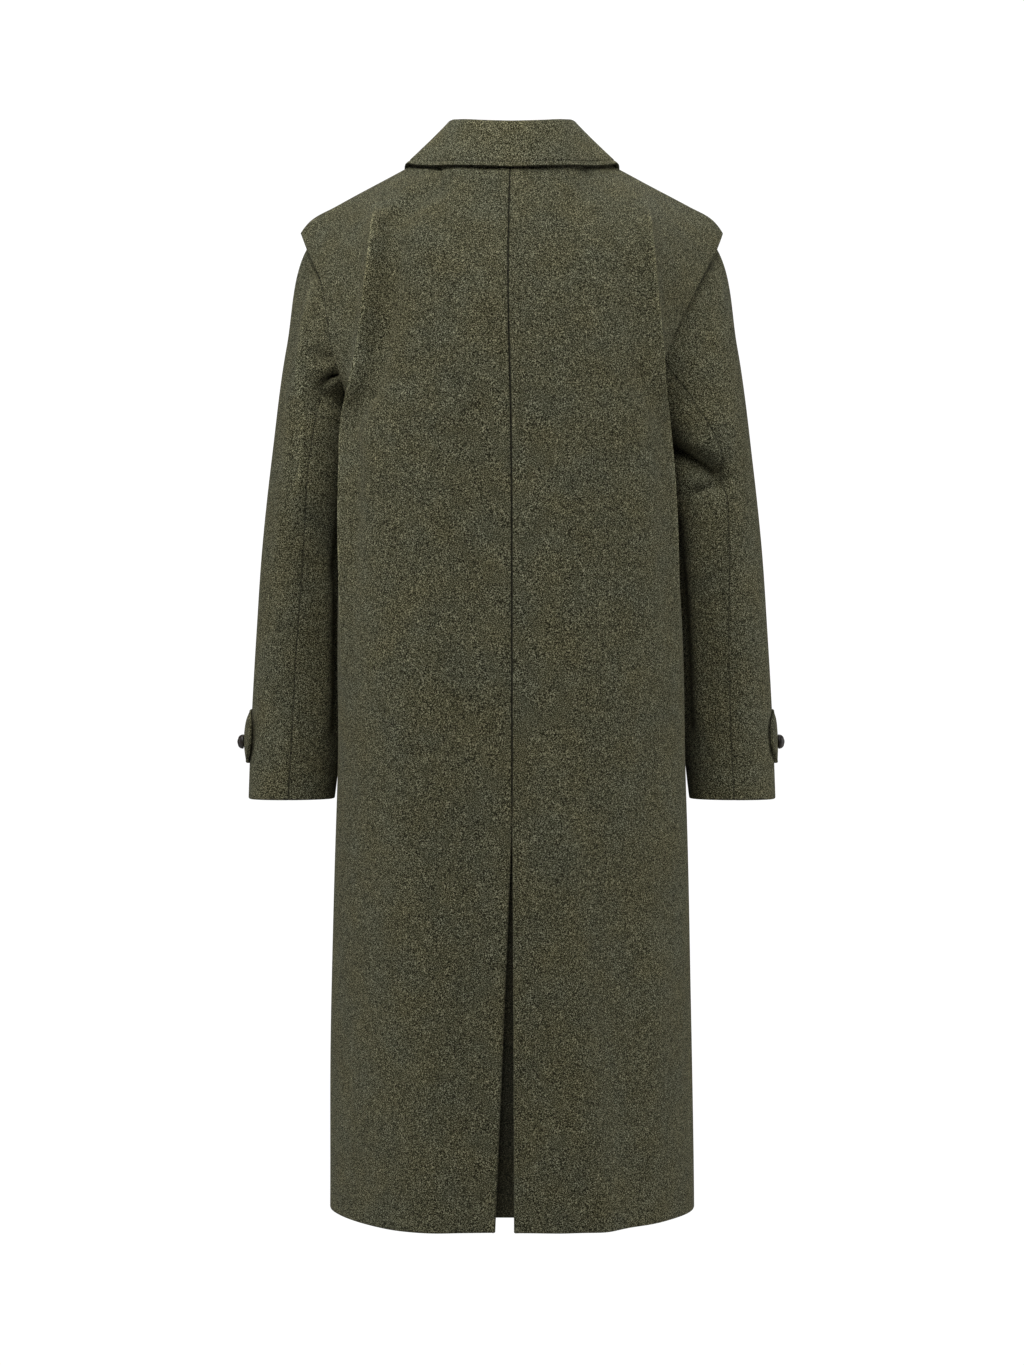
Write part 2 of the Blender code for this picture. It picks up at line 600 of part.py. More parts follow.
def armhole_half(side, front, share):
    """A line down the body at one share across it, from shoulder to underarm, with its normals."""
    levels = np.linspace(TOP_LEVEL, UNDERARM_Z, 81)
    shares = np.array([share - 0.02, share])
    points = body_surface(side, front, shares, levels)
    normal = facing_out(points, normals_of(points), (side * ARM_MIDDLE_X, 0.0, ARM_MIDDLE_Z))
    return points[:, -1], normal[:, -1]


def rounded_at_tip(angles, ring):
    """Rounds an armhole ring where its back and front halves meet under the shoulder tip."""
    apart = (angles[:, None] - angles[None, :-1] + 180.0) % 360.0 - 180.0
    weight = np.exp(-((apart / TIP_ROUNDING) ** 2))
    mean = weight @ ring[:-1] / weight.sum(axis=1, keepdims=True)
    near = np.exp(-(((angles + 180.0) % 360.0 - 180.0) / TIP_REACH) ** 2)[:, None]
    return ring + near * (mean - ring)


def armhole_loop(side, share, inset):
    """The armhole as a closed ring by angle: 0 at the shoulder tip, 90 at the back, 180 under the arm."""
    angles = np.linspace(0, 360, 145)
    halves = []
    for front in (False, True):
        points, normal = armhole_half(side, front, share)
        moved = points - inset * normal
        lengths = arc_lengths(points)
        halves.append((lengths / lengths[-1] * 180.0, moved))
    back_angle, back = halves[0]
    front_angle, forward = halves[1]
    found = np.empty((len(angles), 3))
    for k in range(3):
        rear = np.interp(angles, back_angle, back[:, k])
        fore = np.interp(360 - angles, front_angle, forward[:, k])
        found[:, k] = np.where(angles <= 180, rear, fore)
    found[0] = found[-1] = (back[0] + forward[0]) / 2
    return angles, rounded_at_tip(angles, found)


def sleeve_rings(side):
    """The rings that a sleeve is drawn through, from the cuff to under the shoulder, at even angles."""
    rows = SLEEVE_LEFT if side > 0 else SLEEVE_RIGHT
    angles, edge = armhole_loop(side, 1.0, 0.0)
    turn = np.radians(angles)[:, None]
    rings, seams = [], []
    for row in rows:
        size = dict(zip(SLEEVE_COLUMNS, row))
        outer = np.array([side * size["outer_x"], size["middle_y"], size["outer_z"]])
        inner = np.array([side * size["inner_x"], size["middle_y"], size["inner_z"]])
        back = np.array([0.0, size["half_depth"], 0.0])
        rings.append((outer + inner) / 2 + np.cos(turn) * (outer - inner) / 2 + np.sin(turn) * back)
        seams.append((size["back_seam"], size["front_seam"]))
    middle = edge.mean(axis=0)
    away = edge - middle
    reach = np.linalg.norm(away, axis=1, keepdims=True)
    _, tucked = armhole_loop(side, 1.0, CLOTH + SLEEVE_EDGE_CLEARANCE)
    _, seat = armhole_loop(side, SLEEVE_TOP_SHARE, CLOTH + SLEEVE_TOP_CLEARANCE)
    free = fade(180.0 - np.abs(angles - 180.0), SLEEVE_FREE_FROM, SLEEVE_FREE_TO)[:, None]
    at_tip = np.exp(-(((angles + 180.0) % 360.0 - 180.0) / SLEEVE_TIP_ANGLE) ** 2)[:, None]
    tucked = tucked + at_tip * np.array(SLEEVE_TIP_SHIFT) * np.array([side, 1.0, 1.0])
    rings.append(tucked * (1 - free) + (edge - away / reach * SLEEVE_UNDERARM_DROP) * free)
    shift = np.array(SLEEVE_FREE_SHIFT) * np.array([side, 1.0, 1.0])
    rings.append(seat * (1 - free) + (rings[-1] + shift) * free)
    seams += [(ARMHOLE_SEAM, seams[-1][1])] * 2
    return angles, np.array(rings), np.array(seams)


def sleeve_fold_rise(side, angle, z):
    """How far the drag folds move a place on the sleeve, in metres along its normal."""
    per_degree = math.radians(SLEEVE_MEAN_RADIUS)
    rise = np.zeros_like(z)
    for values in SLEEVE_FOLDS[side]:
        fold = dict(zip(SLEEVE_FOLD_COLUMNS, values))
        start = np.array([fold["angle_a"] * per_degree, fold["z_a"]])
        run = np.array([fold["angle_b"] * per_degree, fold["z_b"]]) - start
        place = np.stack([angle * per_degree, z], axis=-1) - start
        along = np.clip(place @ run / (run @ run), 0.0, 1.0)
        off = np.linalg.norm(place - along[..., None] * run, axis=-1)
        rise += fold["rise"] * np.exp(-((off / fold["half_width"]) ** 2))
    return rise


def sleeve_surface(side, shares, span):
    """Outer points and normals of a sleeve at shares of its length, at angles worked out from its seams."""
    angles, rings, seams = sleeve_rings(side)
    steps = np.linalg.norm(np.diff(rings, axis=0), axis=2).mean(axis=1)
    knots = np.concatenate([[0.0], np.cumsum(steps)])
    places = np.asarray(shares) * knots[-1]
    full = smooth(knots, rings, places)
    seam = smooth(knots, seams, places)
    whole = np.concatenate([full[:, -2:-1], full, full[:, 1:2]], axis=1)
    normal = normals_of(whole)[:, 1:-1]
    middle = full[:, :-1].mean(axis=1, keepdims=True)
    if np.sum(normal * (full - middle)) < 0:
        normal = -normal
    z = full[..., 2]
    full = full + normal * sleeve_fold_rise(side, np.broadcast_to(angles, z.shape), z)[..., None]
    points, turned = [], []
    for ring, out, (back_seam, front_seam) in zip(full, normal, seam):
        wanted = span(back_seam, front_seam) % 360.0
        points.append([[np.interp(a, angles, ring[:, k]) for k in range(3)] for a in wanted])
        turned.append([[np.interp(a, angles, out[:, k]) for k in range(3)] for a in wanted])
    turned = np.array(turned)
    return np.array(points), turned / np.linalg.norm(turned, axis=2, keepdims=True)


def sleeve_piece(side, under, name, finish):
    """The upper or the under half of a two-piece sleeve."""
    half_gap = math.degrees(0.75 * SEAM_GAP / SLEEVE_MEAN_RADIUS)
    columns = 9 if under else 14

    def span(back_seam, front_seam):
        if under:
            return np.linspace(back_seam + half_gap, front_seam - half_gap, columns)
        return np.linspace(front_seam - 360 + half_gap, back_seam - half_gap, columns)

    shares = np.concatenate(
        [np.linspace(0, 0.40, 6), np.linspace(0.40, 0.74, 11)[1:], np.linspace(0.74, 1, 8)[1:]]
    )
    points, normal = sleeve_surface(side, shares, span)
    return wall(name, points, points - CLOTH * normal, finish)


def tab_points(side):
    """Outer points and normals of a cuff tab, made from the sleeve's own points and moved out."""
    _, rings, _ = sleeve_rings(side)
    steps = np.linalg.norm(np.diff(rings, axis=0), axis=2).mean(axis=1)
    knots = np.concatenate([[0.0], np.cumsum(steps)])
    heights = rings[:, :-1, 2].mean(axis=1)
    turns = np.concatenate(
        [
            np.linspace(TAB_START_ANGLE, TAB_ROUND_ANGLE, 9),
            TAB_ROUND_ANGLE + (TAB_END_ANGLE - TAB_ROUND_ANGLE) * np.sin(np.radians([22, 45, 65, 82])),
        ]
    )
    points, out = [], []
    for turn in turns:
        past = max(0.0, (turn - TAB_ROUND_ANGLE) / (TAB_END_ANGLE - TAB_ROUND_ANGLE))
        half = TAB_HALF_WIDTH * math.sqrt(1 - past**2)
        z = TAB_Z + half * TAB_ACROSS
        shares = np.interp(z, heights, knots) / knots[-1]
        surface, normal = sleeve_surface(side, shares, lambda back_seam, front_seam: np.array([turn]))
        bow = 1 - ((z - TAB_Z) / TAB_HALF_WIDTH) ** 2
        lifted = TAB_LIFT[side] * float(fade(np.array(turn), TAB_START_ANGLE + 8, -10.0)) * bow
        points.append(surface[:, 0] + normal[:, 0] * (TAB_REST + TAB_CLOTH + lifted)[:, None])
        out.append(normal[:, 0])
    return np.array(points), np.array(out), turns


def cuff_tab(side, name, finish):
    """The strap round the outside of a cuff, with a rounded end that points to the back."""
    points, normal, _ = tab_points(side)
    return wall(name, points, points - TAB_CLOTH * normal, finish)


def button(name, place, normal, radius, height, finish):
    """A domed button on a short shank, turned about the normal of the cloth it sits on."""
    profile = (
        (0.0, 0.0),
        (0.40 * radius, 0.0),
        (0.40 * radius, 0.05 * height),
        (0.90 * radius, 0.07 * height),
        (radius, 0.24 * height),
        (0.95 * radius, 0.50 * height),
        (0.74 * radius, 0.78 * height),
        (0.38 * radius, 0.95 * height),
        (0.0, height),
    )
    shape = bmesh.new()
    points = [shape.verts.new((r, 0.0, h)) for r, h in profile]
    edges = [shape.edges.new(pair) for pair in zip(points, points[1:])]
    bmesh.ops.spin(
        shape,
        geom=points + edges,
        cent=(0.0, 0.0, 0.0),
        axis=(0.0, 0.0, 1.0),
        angle=2 * math.pi,
        steps=BUTTON_SIDES,
        use_merge=True,
    )
    bmesh.ops.remove_doubles(shape, verts=shape.verts[:], dist=1e-6)
    bmesh.ops.recalc_face_normals(shape, faces=shape.faces[:])
    mesh = bpy.data.meshes.new(name)
    shape.to_mesh(mesh)
    shape.free()
    mesh.shade_smooth()
    mesh.set_sharp_from_angle(angle=math.radians(50))
    made = add_object(name, mesh, finish)
    axis = Vector(normal)
    made.location = Vector(place) + axis * BUTTON_REST
    made.rotation_mode = "QUATERNION"
    made.rotation_quaternion = axis.to_track_quat("Z", "Y")
    return made


def collar_profile(side_angle):
    """Neck, fold and edge points of the collar at an angle, negative on the wearer's right."""
    size = table(COLLAR_COLUMNS, COLLAR_LEFT)
    angle = abs(side_angle)
    sign = -1.0 if side_angle < 0 else 1.0
    mirror = np.array([sign, 1.0, 1.0])
    here = np.array([angle])
    row = {name: float(smooth(size["angle"], values, here)[0]) for name, values in size.items()}
    fold = np.array([row["fold_x"], row["fold_y"], row["fold_z"]]) * mirror
    edge = np.array([row["edge_x"], row["edge_y"], row["edge_z"]]) * mirror
    return neck_point(angle) * mirror, fold, edge


def collar_lines():
    """For each angle: neck, fold and edge points, and the level direction that leads out from the neck."""
    half = np.concatenate([np.linspace(0.0, 90.0, 9), np.linspace(90.0, COLLAR_END_ANGLE, 9)[1:]])
    lines = []
    for angle in np.concatenate([-half[:0:-1], half]):
        neck, fold, edge = collar_profile(angle)
        out = (edge - fold) * np.array([1.0, 1.0, 0.0])
        lines.append((neck, fold, edge, out / np.linalg.norm(out)))
    return lines


def collar_lap(neck, fold):
    """How far the fall reaches down inside the neck, less where the stand is low."""
    return min(COLLAR_LAP, 0.35 * (fold[2] - neck[2]))


def collar_fall(finish):
    """The turned-down part of the collar, from just inside its fold to its free edge."""
    up = np.array([0.0, 0.0, 1.0])
    rows = []
    for neck, fold, edge, out in collar_lines():
        middle = fold - COLLAR_FOLD_RADIUS * up
        lean = math.atan2((edge - fold) @ out, fold[2] - edge[2])
        line = [middle - COLLAR_FOLD_RADIUS * out - collar_lap(neck, fold) * up]
        for turn in np.linspace(math.pi, lean, 6):
            line.append(middle + COLLAR_FOLD_RADIUS * (math.cos(turn) * out + math.sin(turn) * up))
        start = line[-1]
        for share in (0.25, 0.5, 0.75, 1.0):
            line.append(start + (edge - start) * share)
        rows.append(line)
    points = np.array(rows)
    normal = normals_of(points)
    if np.sum(normal[:, -1, 2]) < 0:
        normal = -normal
    return wall("collar_fall", points, points - COLLAR_CLOTH * normal, finish)


def collar_stand(finish):
    """The upright part of the collar, from the neckline to the fall's inner edge."""
    up = np.array([0.0, 0.0, 1.0])
    inner, outer = [], []
    for neck, fold, edge, out in collar_lines():
        lap = COLLAR_FOLD_RADIUS + collar_lap(neck, fold) + 2 * SEAM_GAP
        top = fold - COLLAR_FOLD_RADIUS * out - lap * up
        foot = neck - STAND_INSET * out + STAND_RISE * up
        line = np.array([foot + (top - foot) * share for share in (0.0, 0.33, 0.67, 1.0)])
        inner.append(line)
        outer.append(line + CLOTH * out)
    return wall("collar_stand", np.array(inner), np.array(outer), finish)


def cuff_button(side, name, finish):
    """The button on the rounded end of a cuff tab."""
    points, normal, turns = tab_points(side)
    column = int(np.argmin(np.abs(turns - CUFF_BUTTON_ANGLE)))
    row = int(np.argmin(np.abs(TAB_ACROSS - CUFF_BUTTON_ACROSS)))
    out = normal[column, row] / np.linalg.norm(normal[column, row])
    return button(name, points[column, row], out, CUFF_BUTTON_RADIUS, CUFF_BUTTON_HEIGHT, finish)


def front_buttons(finish):
    """A row of buttons down the centre of the closed front."""
    points, shares = front_points(-1, np.linspace(HEM_Z, TOP_LEVEL, 240))
    column = int(np.argmin(np.abs(shares)))
    line = points[:, column]
    out = facing_out(points, normals_of(points), BODY_MIDDLE)[:, column]
    for count in range(FRONT_BUTTON_COUNT):
        z = FRONT_BUTTON_TOP_Z - count * FRONT_BUTTON_STEP
        row = int(np.argmin(np.abs(line[:, 2] - z)))
        name = f"front_button_{count + 1}"
        button(name, line[row], out[row], FRONT_BUTTON_RADIUS, FRONT_BUTTON_HEIGHT, finish)


def build():
    """All pieces of the coat."""
    remove_everything()
    loden = material("loden", LODEN_COLOUR, 0.95)
    shade = material("loden_inside", LODEN_SHADE, 0.95)
    leather = material("button_leather", BUTTON_COLOUR, 0.45)
    for side, word in ((1, "left"), (-1, "right")):
        back_panel(side, f"back_{word}", loden)
        front_panel(side, f"front_{word}", loden)
        sleeve_piece(side, False, f"sleeve_{word}_upper", loden)
        sleeve_piece(side, True, f"sleeve_{word}_under", loden)
        cuff_tab(side, f"cuff_tab_{word}", loden)
        cuff_button(side, f"cuff_button_{word}", leather)
    pleat_underlay(shade)
    collar_fall(loden)
    collar_stand(shade)
    front_buttons(leather)


build()
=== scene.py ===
"""The long coat's looks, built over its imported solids.

Metres, in the part's own frame: +Z up, the front faces -Y and the wearer's left is +X. Each cloth piece is
made from the same sections as its solid, with finer rows, and gets its creases, seams and rounded edges here.
"""

import math

import bmesh
import bpy
import numpy as np
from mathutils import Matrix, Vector


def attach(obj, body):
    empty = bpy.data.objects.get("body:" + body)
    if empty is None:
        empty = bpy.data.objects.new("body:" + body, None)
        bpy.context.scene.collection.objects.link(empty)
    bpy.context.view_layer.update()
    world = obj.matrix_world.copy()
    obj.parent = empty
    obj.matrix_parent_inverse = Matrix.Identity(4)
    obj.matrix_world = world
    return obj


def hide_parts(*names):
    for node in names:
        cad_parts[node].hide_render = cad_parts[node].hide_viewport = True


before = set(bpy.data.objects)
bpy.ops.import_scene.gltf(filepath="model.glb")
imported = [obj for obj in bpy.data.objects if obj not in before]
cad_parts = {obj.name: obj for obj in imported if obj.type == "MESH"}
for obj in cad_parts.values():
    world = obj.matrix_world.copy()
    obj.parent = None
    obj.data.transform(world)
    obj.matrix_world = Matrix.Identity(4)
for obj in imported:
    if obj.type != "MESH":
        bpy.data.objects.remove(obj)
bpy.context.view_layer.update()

# Cloth thickness, and the gap left at a seam
CLOTH = 0.0024
COLLAR_CLOTH = 0.0032
TAB_CLOTH = 0.0030
SEAM_GAP = 0.0001

# Heights, and points within the garment that its outer faces look away from
HEM_Z = -1.145
UNDERARM_Z = -0.285
BODY_MIDDLE = (0.0, 0.0, -0.400)
ARM_MIDDLE_X = 0.150
ARM_MIDDLE_Z = -0.200

# Body sections below the armholes: superellipses, narrower on the right where the coat is drawn in.
# The arm presses the side in by the tuck.
SECTION_COLUMNS = ("z", "half_left", "half_right", "back", "front", "back_square", "front_square", "tuck")
SECTIONS = (
    (HEM_Z, 0.1997, 0.1997, 0.160, 0.150, 1.75, 2.10, 0.000),
    (-0.917, 0.1964, 0.1964, 0.158, 0.148, 2.05, 2.20, 0.000),
    (-0.690, 0.1942, 0.1942, 0.156, 0.145, 2.50, 2.40, 0.004),
    (-0.560, 0.1945, 0.1918, 0.154, 0.142, 3.00, 2.70, 0.010),
    (-0.436, 0.1905, 0.1828, 0.152, 0.139, 3.60, 2.90, 0.010),
    (-0.345, 0.1855, 0.1738, 0.150, 0.136, 4.00, 3.10, 0.010),
    (UNDERARM_Z, 0.1812, 0.1672, 0.149, 0.134, 4.20, 3.20, 0.010),
)
TUCK_DEPTH_SHARE = 0.55

# Rows across the back and the fronts above the underarm. Each runs from the centre line, over the ridge
# where the cloth turns towards the arm, to the free edge that lies over the sleeve.
YOKE_COLUMNS = (
    "level", "square", "centre_y", "centre_z", "ridge_x", "ridge_y", "ridge_z", "edge_x", "edge_y", "edge_z"
)
YOKE_BACK_LEFT = (
    (-0.252, 3.8, 0.1480, -0.252, 0.1680, 0.1100, -0.252, 0.1790, 0.0750, -0.256),
    (-0.215, 3.2, 0.1455, -0.215, 0.1615, 0.1125, -0.213, 0.1920, 0.0870, -0.214),
    (-0.150, 2.7, 0.1360, -0.150, 0.1535, 0.1130, -0.150, 0.2040, 0.0700, -0.145),
    (-0.090, 2.4, 0.1160, -0.090, 0.1475, 0.1000, -0.092, 0.2170, 0.0400, -0.113),
)
YOKE_BACK_RIGHT = (
    (-0.252, 3.8, 0.1480, -0.252, 0.1575, 0.1085, -0.252, 0.1540, 0.0690, -0.256),
    (-0.215, 3.2, 0.1455, -0.215, 0.1560, 0.1110, -0.213, 0.1670, 0.0820, -0.213),
    (-0.150, 2.7, 0.1360, -0.150, 0.1515, 0.1120, -0.150, 0.1950, 0.0680, -0.153),
    (-0.090, 2.4, 0.1160, -0.090, 0.1470, 0.1000, -0.092, 0.2140, 0.0390, -0.117),
)
YOKE_FRONT = (
    (-0.252, 3.0, 0.1325, -0.252, 0.1540, 0.0945, -0.252, 0.1730, 0.0600, -0.254),
    (-0.215, 2.8, 0.1300, -0.215, 0.1500, 0.0945, -0.213, 0.1770, 0.0700, -0.212),
    (-0.150, 2.6, 0.1190, -0.155, 0.1445, 0.0905, -0.150, 0.1920, 0.0610, -0.152),
    (-0.090, 2.4, 0.1000, -0.105, 0.1420, 0.0745, -0.092, 0.2130, 0.0380, -0.116),
)
TOP_LEVEL = 0.0
RIDGE_SHARE = 0.72
RIDGE_DEPTH_SHARE = 0.60
YOKE_INWARD = (0.0, 0.3, 0.6, 0.85)
YOKE_SIDEWARD = (0.0, 0.25, 0.6, 1.0)

# Neckline and shoulder seam
NECK_HALF = 0.074
NECK_BACK_Y = 0.060
NECK_FRONT_Y = 0.082
NECK_BACK_Z = 0.003
NECK_SIDE_Z = 0.021
NECK_FRONT_Z = -0.062
NECK_DROP_POWER = 1.4
SHOULDER_COLUMNS = ("x", "z")
SHOULDER_LINE = (
    (NECK_HALF, NECK_SIDE_Z),
    (0.112, 0.0000),
    (0.146, -0.0185),
    (0.195, -0.0450),
    (0.2240, -0.0630),
    (0.2325, -0.0745),
)
SHOULDER_RIDGE_X = 0.146

# Centre-back pleat. Its folds open and roll in towards the hem, more on the left (1) than on the right (-1),
# and the seam above it closes between two heights.
PLEAT_TOP_Z = -0.235
PLEAT_TOP_FADE = 0.050
PLEAT_PULL_SHARE = 0.43
PLEAT_FOLD_RADIUS = 0.003
PLEAT_FOLD_TURNS = (180.0, 12.0)
PLEAT_RETURN = 0.056
PLEAT_RETURN_SHARES = (1.0, 0.07)
SEAM_ALLOWANCE = 0.012
PLEAT_OPENS_Z = -0.720
PLEAT_OPENING = {1: 0.0175, -1: 0.0020}
PLEAT_DEPTH_TOP = 0.0066
PLEAT_DEPTH_HEM = 0.0380
PLEAT_DEEPENS_Z = -0.450
PLEAT_DEEPENS_POWER = 1.3
PLEAT_ROLL = {1: 0.016, -1: 0.014}
PLEAT_ROLLS_Z = -0.600
PLEAT_ROLL_WIDTH = 0.042
UNDERLAY_HALF = 0.062
UNDERLAY_HEM_RISE = 0.012
UNDERLAY_TOP_DROP = 0.010
UNDERLAY_BOW = 0.0035
SEAM_SHUT_FROM = -0.180
SEAM_SHUT_TO = -0.140
CENTRE_SEAM_COLUMNS = ("z", "x")
CENTRE_SEAM = ((HEM_Z, 0.0), (-0.60, 0.0), (-0.30, 0.0010), (-0.14, 0.0040), (0.0, 0.0015))

# Long soft folds of the back and the fronts, as ridges that run down the cloth.
FOLD_COLUMNS = ("top_x", "top_z", "low_x", "low_z", "half_width", "rise")
BACK_FOLDS = (
    (-0.055, -0.060, -0.068, -0.600, 0.016, 0.0035),
    (-0.036, -0.600, -0.112, -1.300, 0.021, 0.0080),
    (-0.150, -0.780, -0.140, -1.300, 0.022, 0.0050),
    (0.112, -0.420, 0.112, -1.300, 0.052, 0.0125),
    (0.045, -0.480, 0.040, -1.300, 0.026, -0.0020),
    (-0.105, -0.700, -0.150, -1.300, 0.020, -0.0030),
)
FRONT_FOLDS = (
    (0.105, -0.300, 0.118, -1.300, 0.030, 0.0055),
    (-0.105, -0.340, -0.122, -1.300, 0.034, 0.0055),
    (0.062, -0.480, 0.066, -1.300, 0.026, -0.0040),
    (-0.060, -0.420, -0.068, -1.300, 0.026, -0.0040),
)
FOLD_FADE = 0.16

# The rolled edge of the back beside each arm: a ridge, and the hollow that follows it towards the centre.
RIDGE_RISE = {1: 0.0045, -1: 0.0035}
RIDGE_HALF_WIDTH = 0.009
HOLLOW_DROP = {1: 0.0065, -1: 0.0030}
HOLLOW_AWAY = 0.027
HOLLOW_HALF_WIDTH = 0.015
RIDGE_TOP_Z = -0.040
RIDGE_FULL_Z = -0.085
RIDGE_FADES_Z = -0.340
RIDGE_END_Z = -0.620

# Sleeve rings, each an ellipse through an outer and an inner point, and the back seam's angle on it
SLEEVE_COLUMNS = (
    "outer_x", "outer_z", "inner_z", "middle_y", "half_depth",
    "inner_left", "inner_right", "seam_left", "seam_right",
)
SLEEVE_RINGS = (
    (0.2925, -0.697, -0.697, -0.030, 0.0500, 0.1970, 0.1970, 90.0, 92.0),
    (0.2885, -0.612, -0.612, -0.022, 0.0515, 0.1885, 0.1880, 89.0, 90.0),
    (0.2815, -0.512, -0.512, -0.008, 0.0550, 0.1862, 0.1828, 92.0, 87.0),
    (0.2735, -0.413, -0.420, 0.003, 0.0600, 0.1822, 0.1745, 95.0, 78.0),
    (0.2630, -0.318, -0.352, 0.004, 0.0635, 0.1780, 0.1665, 92.0, 76.0),
    (0.2472, -0.200, -0.306, 0.004, 0.0640, 0.1750, 0.1615, 99.0, 102.0),
)
FRONT_SEAM = 245.0
SLEEVE_MEAN_RADIUS = 0.05
ARMHOLE_SEAM = 108.0
ARMHOLE_ASIDE = 0.02
SLEEVE_EDGE_CLEARANCE = 0.0018
SLEEVE_UNDERARM_DROP = 0.0130
TIP_ROUNDING = 12.0
TIP_REACH = 24.0
SLEEVE_TIP_ANGLE = 28.0
SLEEVE_TIP_SHIFT = (-0.0030, 0.0, -0.0050)
SLEEVE_TOP_SHARE = 0.90
SLEEVE_TOP_CLEARANCE = 0.0016
SLEEVE_FREE_FROM = 112.0
SLEEVE_FREE_TO = 145.0
SLEEVE_FREE_SHIFT = (-0.012, 0.0, 0.012)

# Collar: the fold at its top and its free edge, by the angle from the centre of the back.
COLLAR_COLUMNS = ("angle", "fold_x", "fold_y", "fold_z", "edge_x", "edge_y", "edge_z")
COLLAR_LEFT = (
    (0.0, 0.0000, 0.0600, 0.0378, 0.0000, 0.0772, -0.0148),
    (30.0, 0.0350, 0.0530, 0.0402, 0.0466, 0.0709, -0.0122),
    (45.0, 0.0481, 0.0431, 0.0429, 0.0702, 0.0563, -0.0092),
    (60.0, 0.0580, 0.0300, 0.0455, 0.0897, 0.0347, -0.0058),
    (75.0, 0.0647, 0.0144, 0.0480, 0.1058, 0.0192, -0.0020),
    (90.0, 0.0675, -0.0030, 0.0475, 0.1169, 0.0034, 0.0020),
    (120.0, 0.0600, -0.0400, 0.0125, 0.1125, -0.0370, -0.0268),
    (150.0, 0.0360, -0.0735, -0.0315, 0.0858, -0.0930, -0.0922),
    (172.0, 0.0115, -0.0865, -0.0485, 0.0605, -0.1060, -0.1133),
)
COLLAR_END_ANGLE = 172.0
COLLAR_FOLD_RADIUS = 0.0045
COLLAR_LAP = 0.008
COLLAR_LAP_OF_STAND = 0.35
COLLAR_LAP_SHARES = (1.0, 0.66, 0.33)
COLLAR_FALL_BEND = 0.8
STAND_INSET = 0.0018
STAND_RISE = 0.0012

# Cuff tabs and buttons. A tab bows off the sleeve by the lift, which differs between left (1) and right (-1),
# and thins out to its upper edge.
TAB_Z = -0.6275
TAB_HALF_WIDTH = 0.030
TAB_START_ANGLE = -112.0
TAB_END_ANGLE = 31.0
TAB_ROUND_ANGLE = 0.0
TAB_LIFT = {1: 0.0040, -1: 0.0016}
TAB_LIFT_ANGLES = (TAB_START_ANGLE + 8, -10.0)
TAB_REST = 0.0005
TAB_TOP_THINS = 0.60
TAB_THINS_OVER = 0.008
TAB_ROUND_TURNS = (6, 84)
CUFF_BUTTON_ANGLE = 4.0
CUFF_BUTTON_ACROSS = -0.2
CUFF_BUTTON_RADIUS = 0.0080
CUFF_BUTTON_HEIGHT = 0.0078
CUFF_BUTTON_SEAT = 0.0010
FRONT_BUTTON_RADIUS = 0.0130
FRONT_BUTTON_HEIGHT = 0.0085
FRONT_BUTTON_TOP_Z = -0.112
FRONT_BUTTON_STEP = 0.128
FRONT_BUTTON_COUNT = 5
BUTTON_REST = 0.0004
FRONT_LINE_ROWS = 480
FRONT_LINE_SHARES = (-0.004, 0.0, 0.008)

# Front closing: the right front lies over the left.
OVERLAP = 0.028
UNDERLAP_TUCK = 0.0032
UNDERLAP_RAMP = 0.050
LAP_EDGE = 0.014

# Rows and columns of the cloth, crowded towards folds and seams by powers. A body panel has rows below and
# above the underarm, and columns to the neck corner, on to the ridge and on to the side.
ROW_STEPS = (160, 120)
SHOULDER_STEPS = (80, 100)
NECK_STEPS = 120
BACK_ROWS, BACK_STEPS = (170, 84), (24, 34, 40)
FRONT_ROWS, FRONT_STEPS = (150, 70), (18, 22, 20)
LAP_STEPS = (13, 5)
PLEAT_STEPS = 14
CENTRE_SEAM_SHADE_STEPS = 11
UNDERLAY_ROWS, UNDERLAY_STEPS = 120, 22
ARMHOLE_ROWS, ARMHOLE_STEPS = 241, 289
SLEEVE_ROWS, UPPER_STEPS, UNDER_STEPS = 200, 112, 60
TAB_STEPS, TAB_ROWS = (40, 14), 23
COLLAR_STEPS, COLLAR_FOLD_STEPS, COLLAR_FALL_STEPS, STAND_ROWS = 41, 16, (15, 17), 9
LEVEL_CROWDING = 1.35
SHARE_CROWDING = 1.5
SEAM_CROWDING = 1.3
TINY = 1e-9

# Rounded edges, and hems turned up inside
EDGE_TURNS = (40.0, 90.0, 140.0)
EDGE_SHARE = 0.7
HEM_EXTRA = 0.0018
HEM_EDGE = 0.003
BODY_HEM_DEPTH = 0.042
CUFF_Z = -0.697
CUFF_HEM_DEPTH = 0.036

# Ripples of the hanging cloth: wave lengths across and up, phase and rise. They start between two depths, and
# on the fronts between two distances from the centre.
RIPPLES = (
    (0.190, 0.90, 2.2, 0.0007),
    (0.110, -0.62, 0.3, 0.0005),
    (0.071, 0.48, 1.7, 0.0003),
    (0.046, -0.30, 4.1, 0.0002),
)
BACK_RIPPLE_DOWN = (0.0, 0.10)
FRONT_RIPPLE_DOWN = (0.05, 0.15)
FRONT_RIPPLE_ASIDE = (0.02, 0.06)

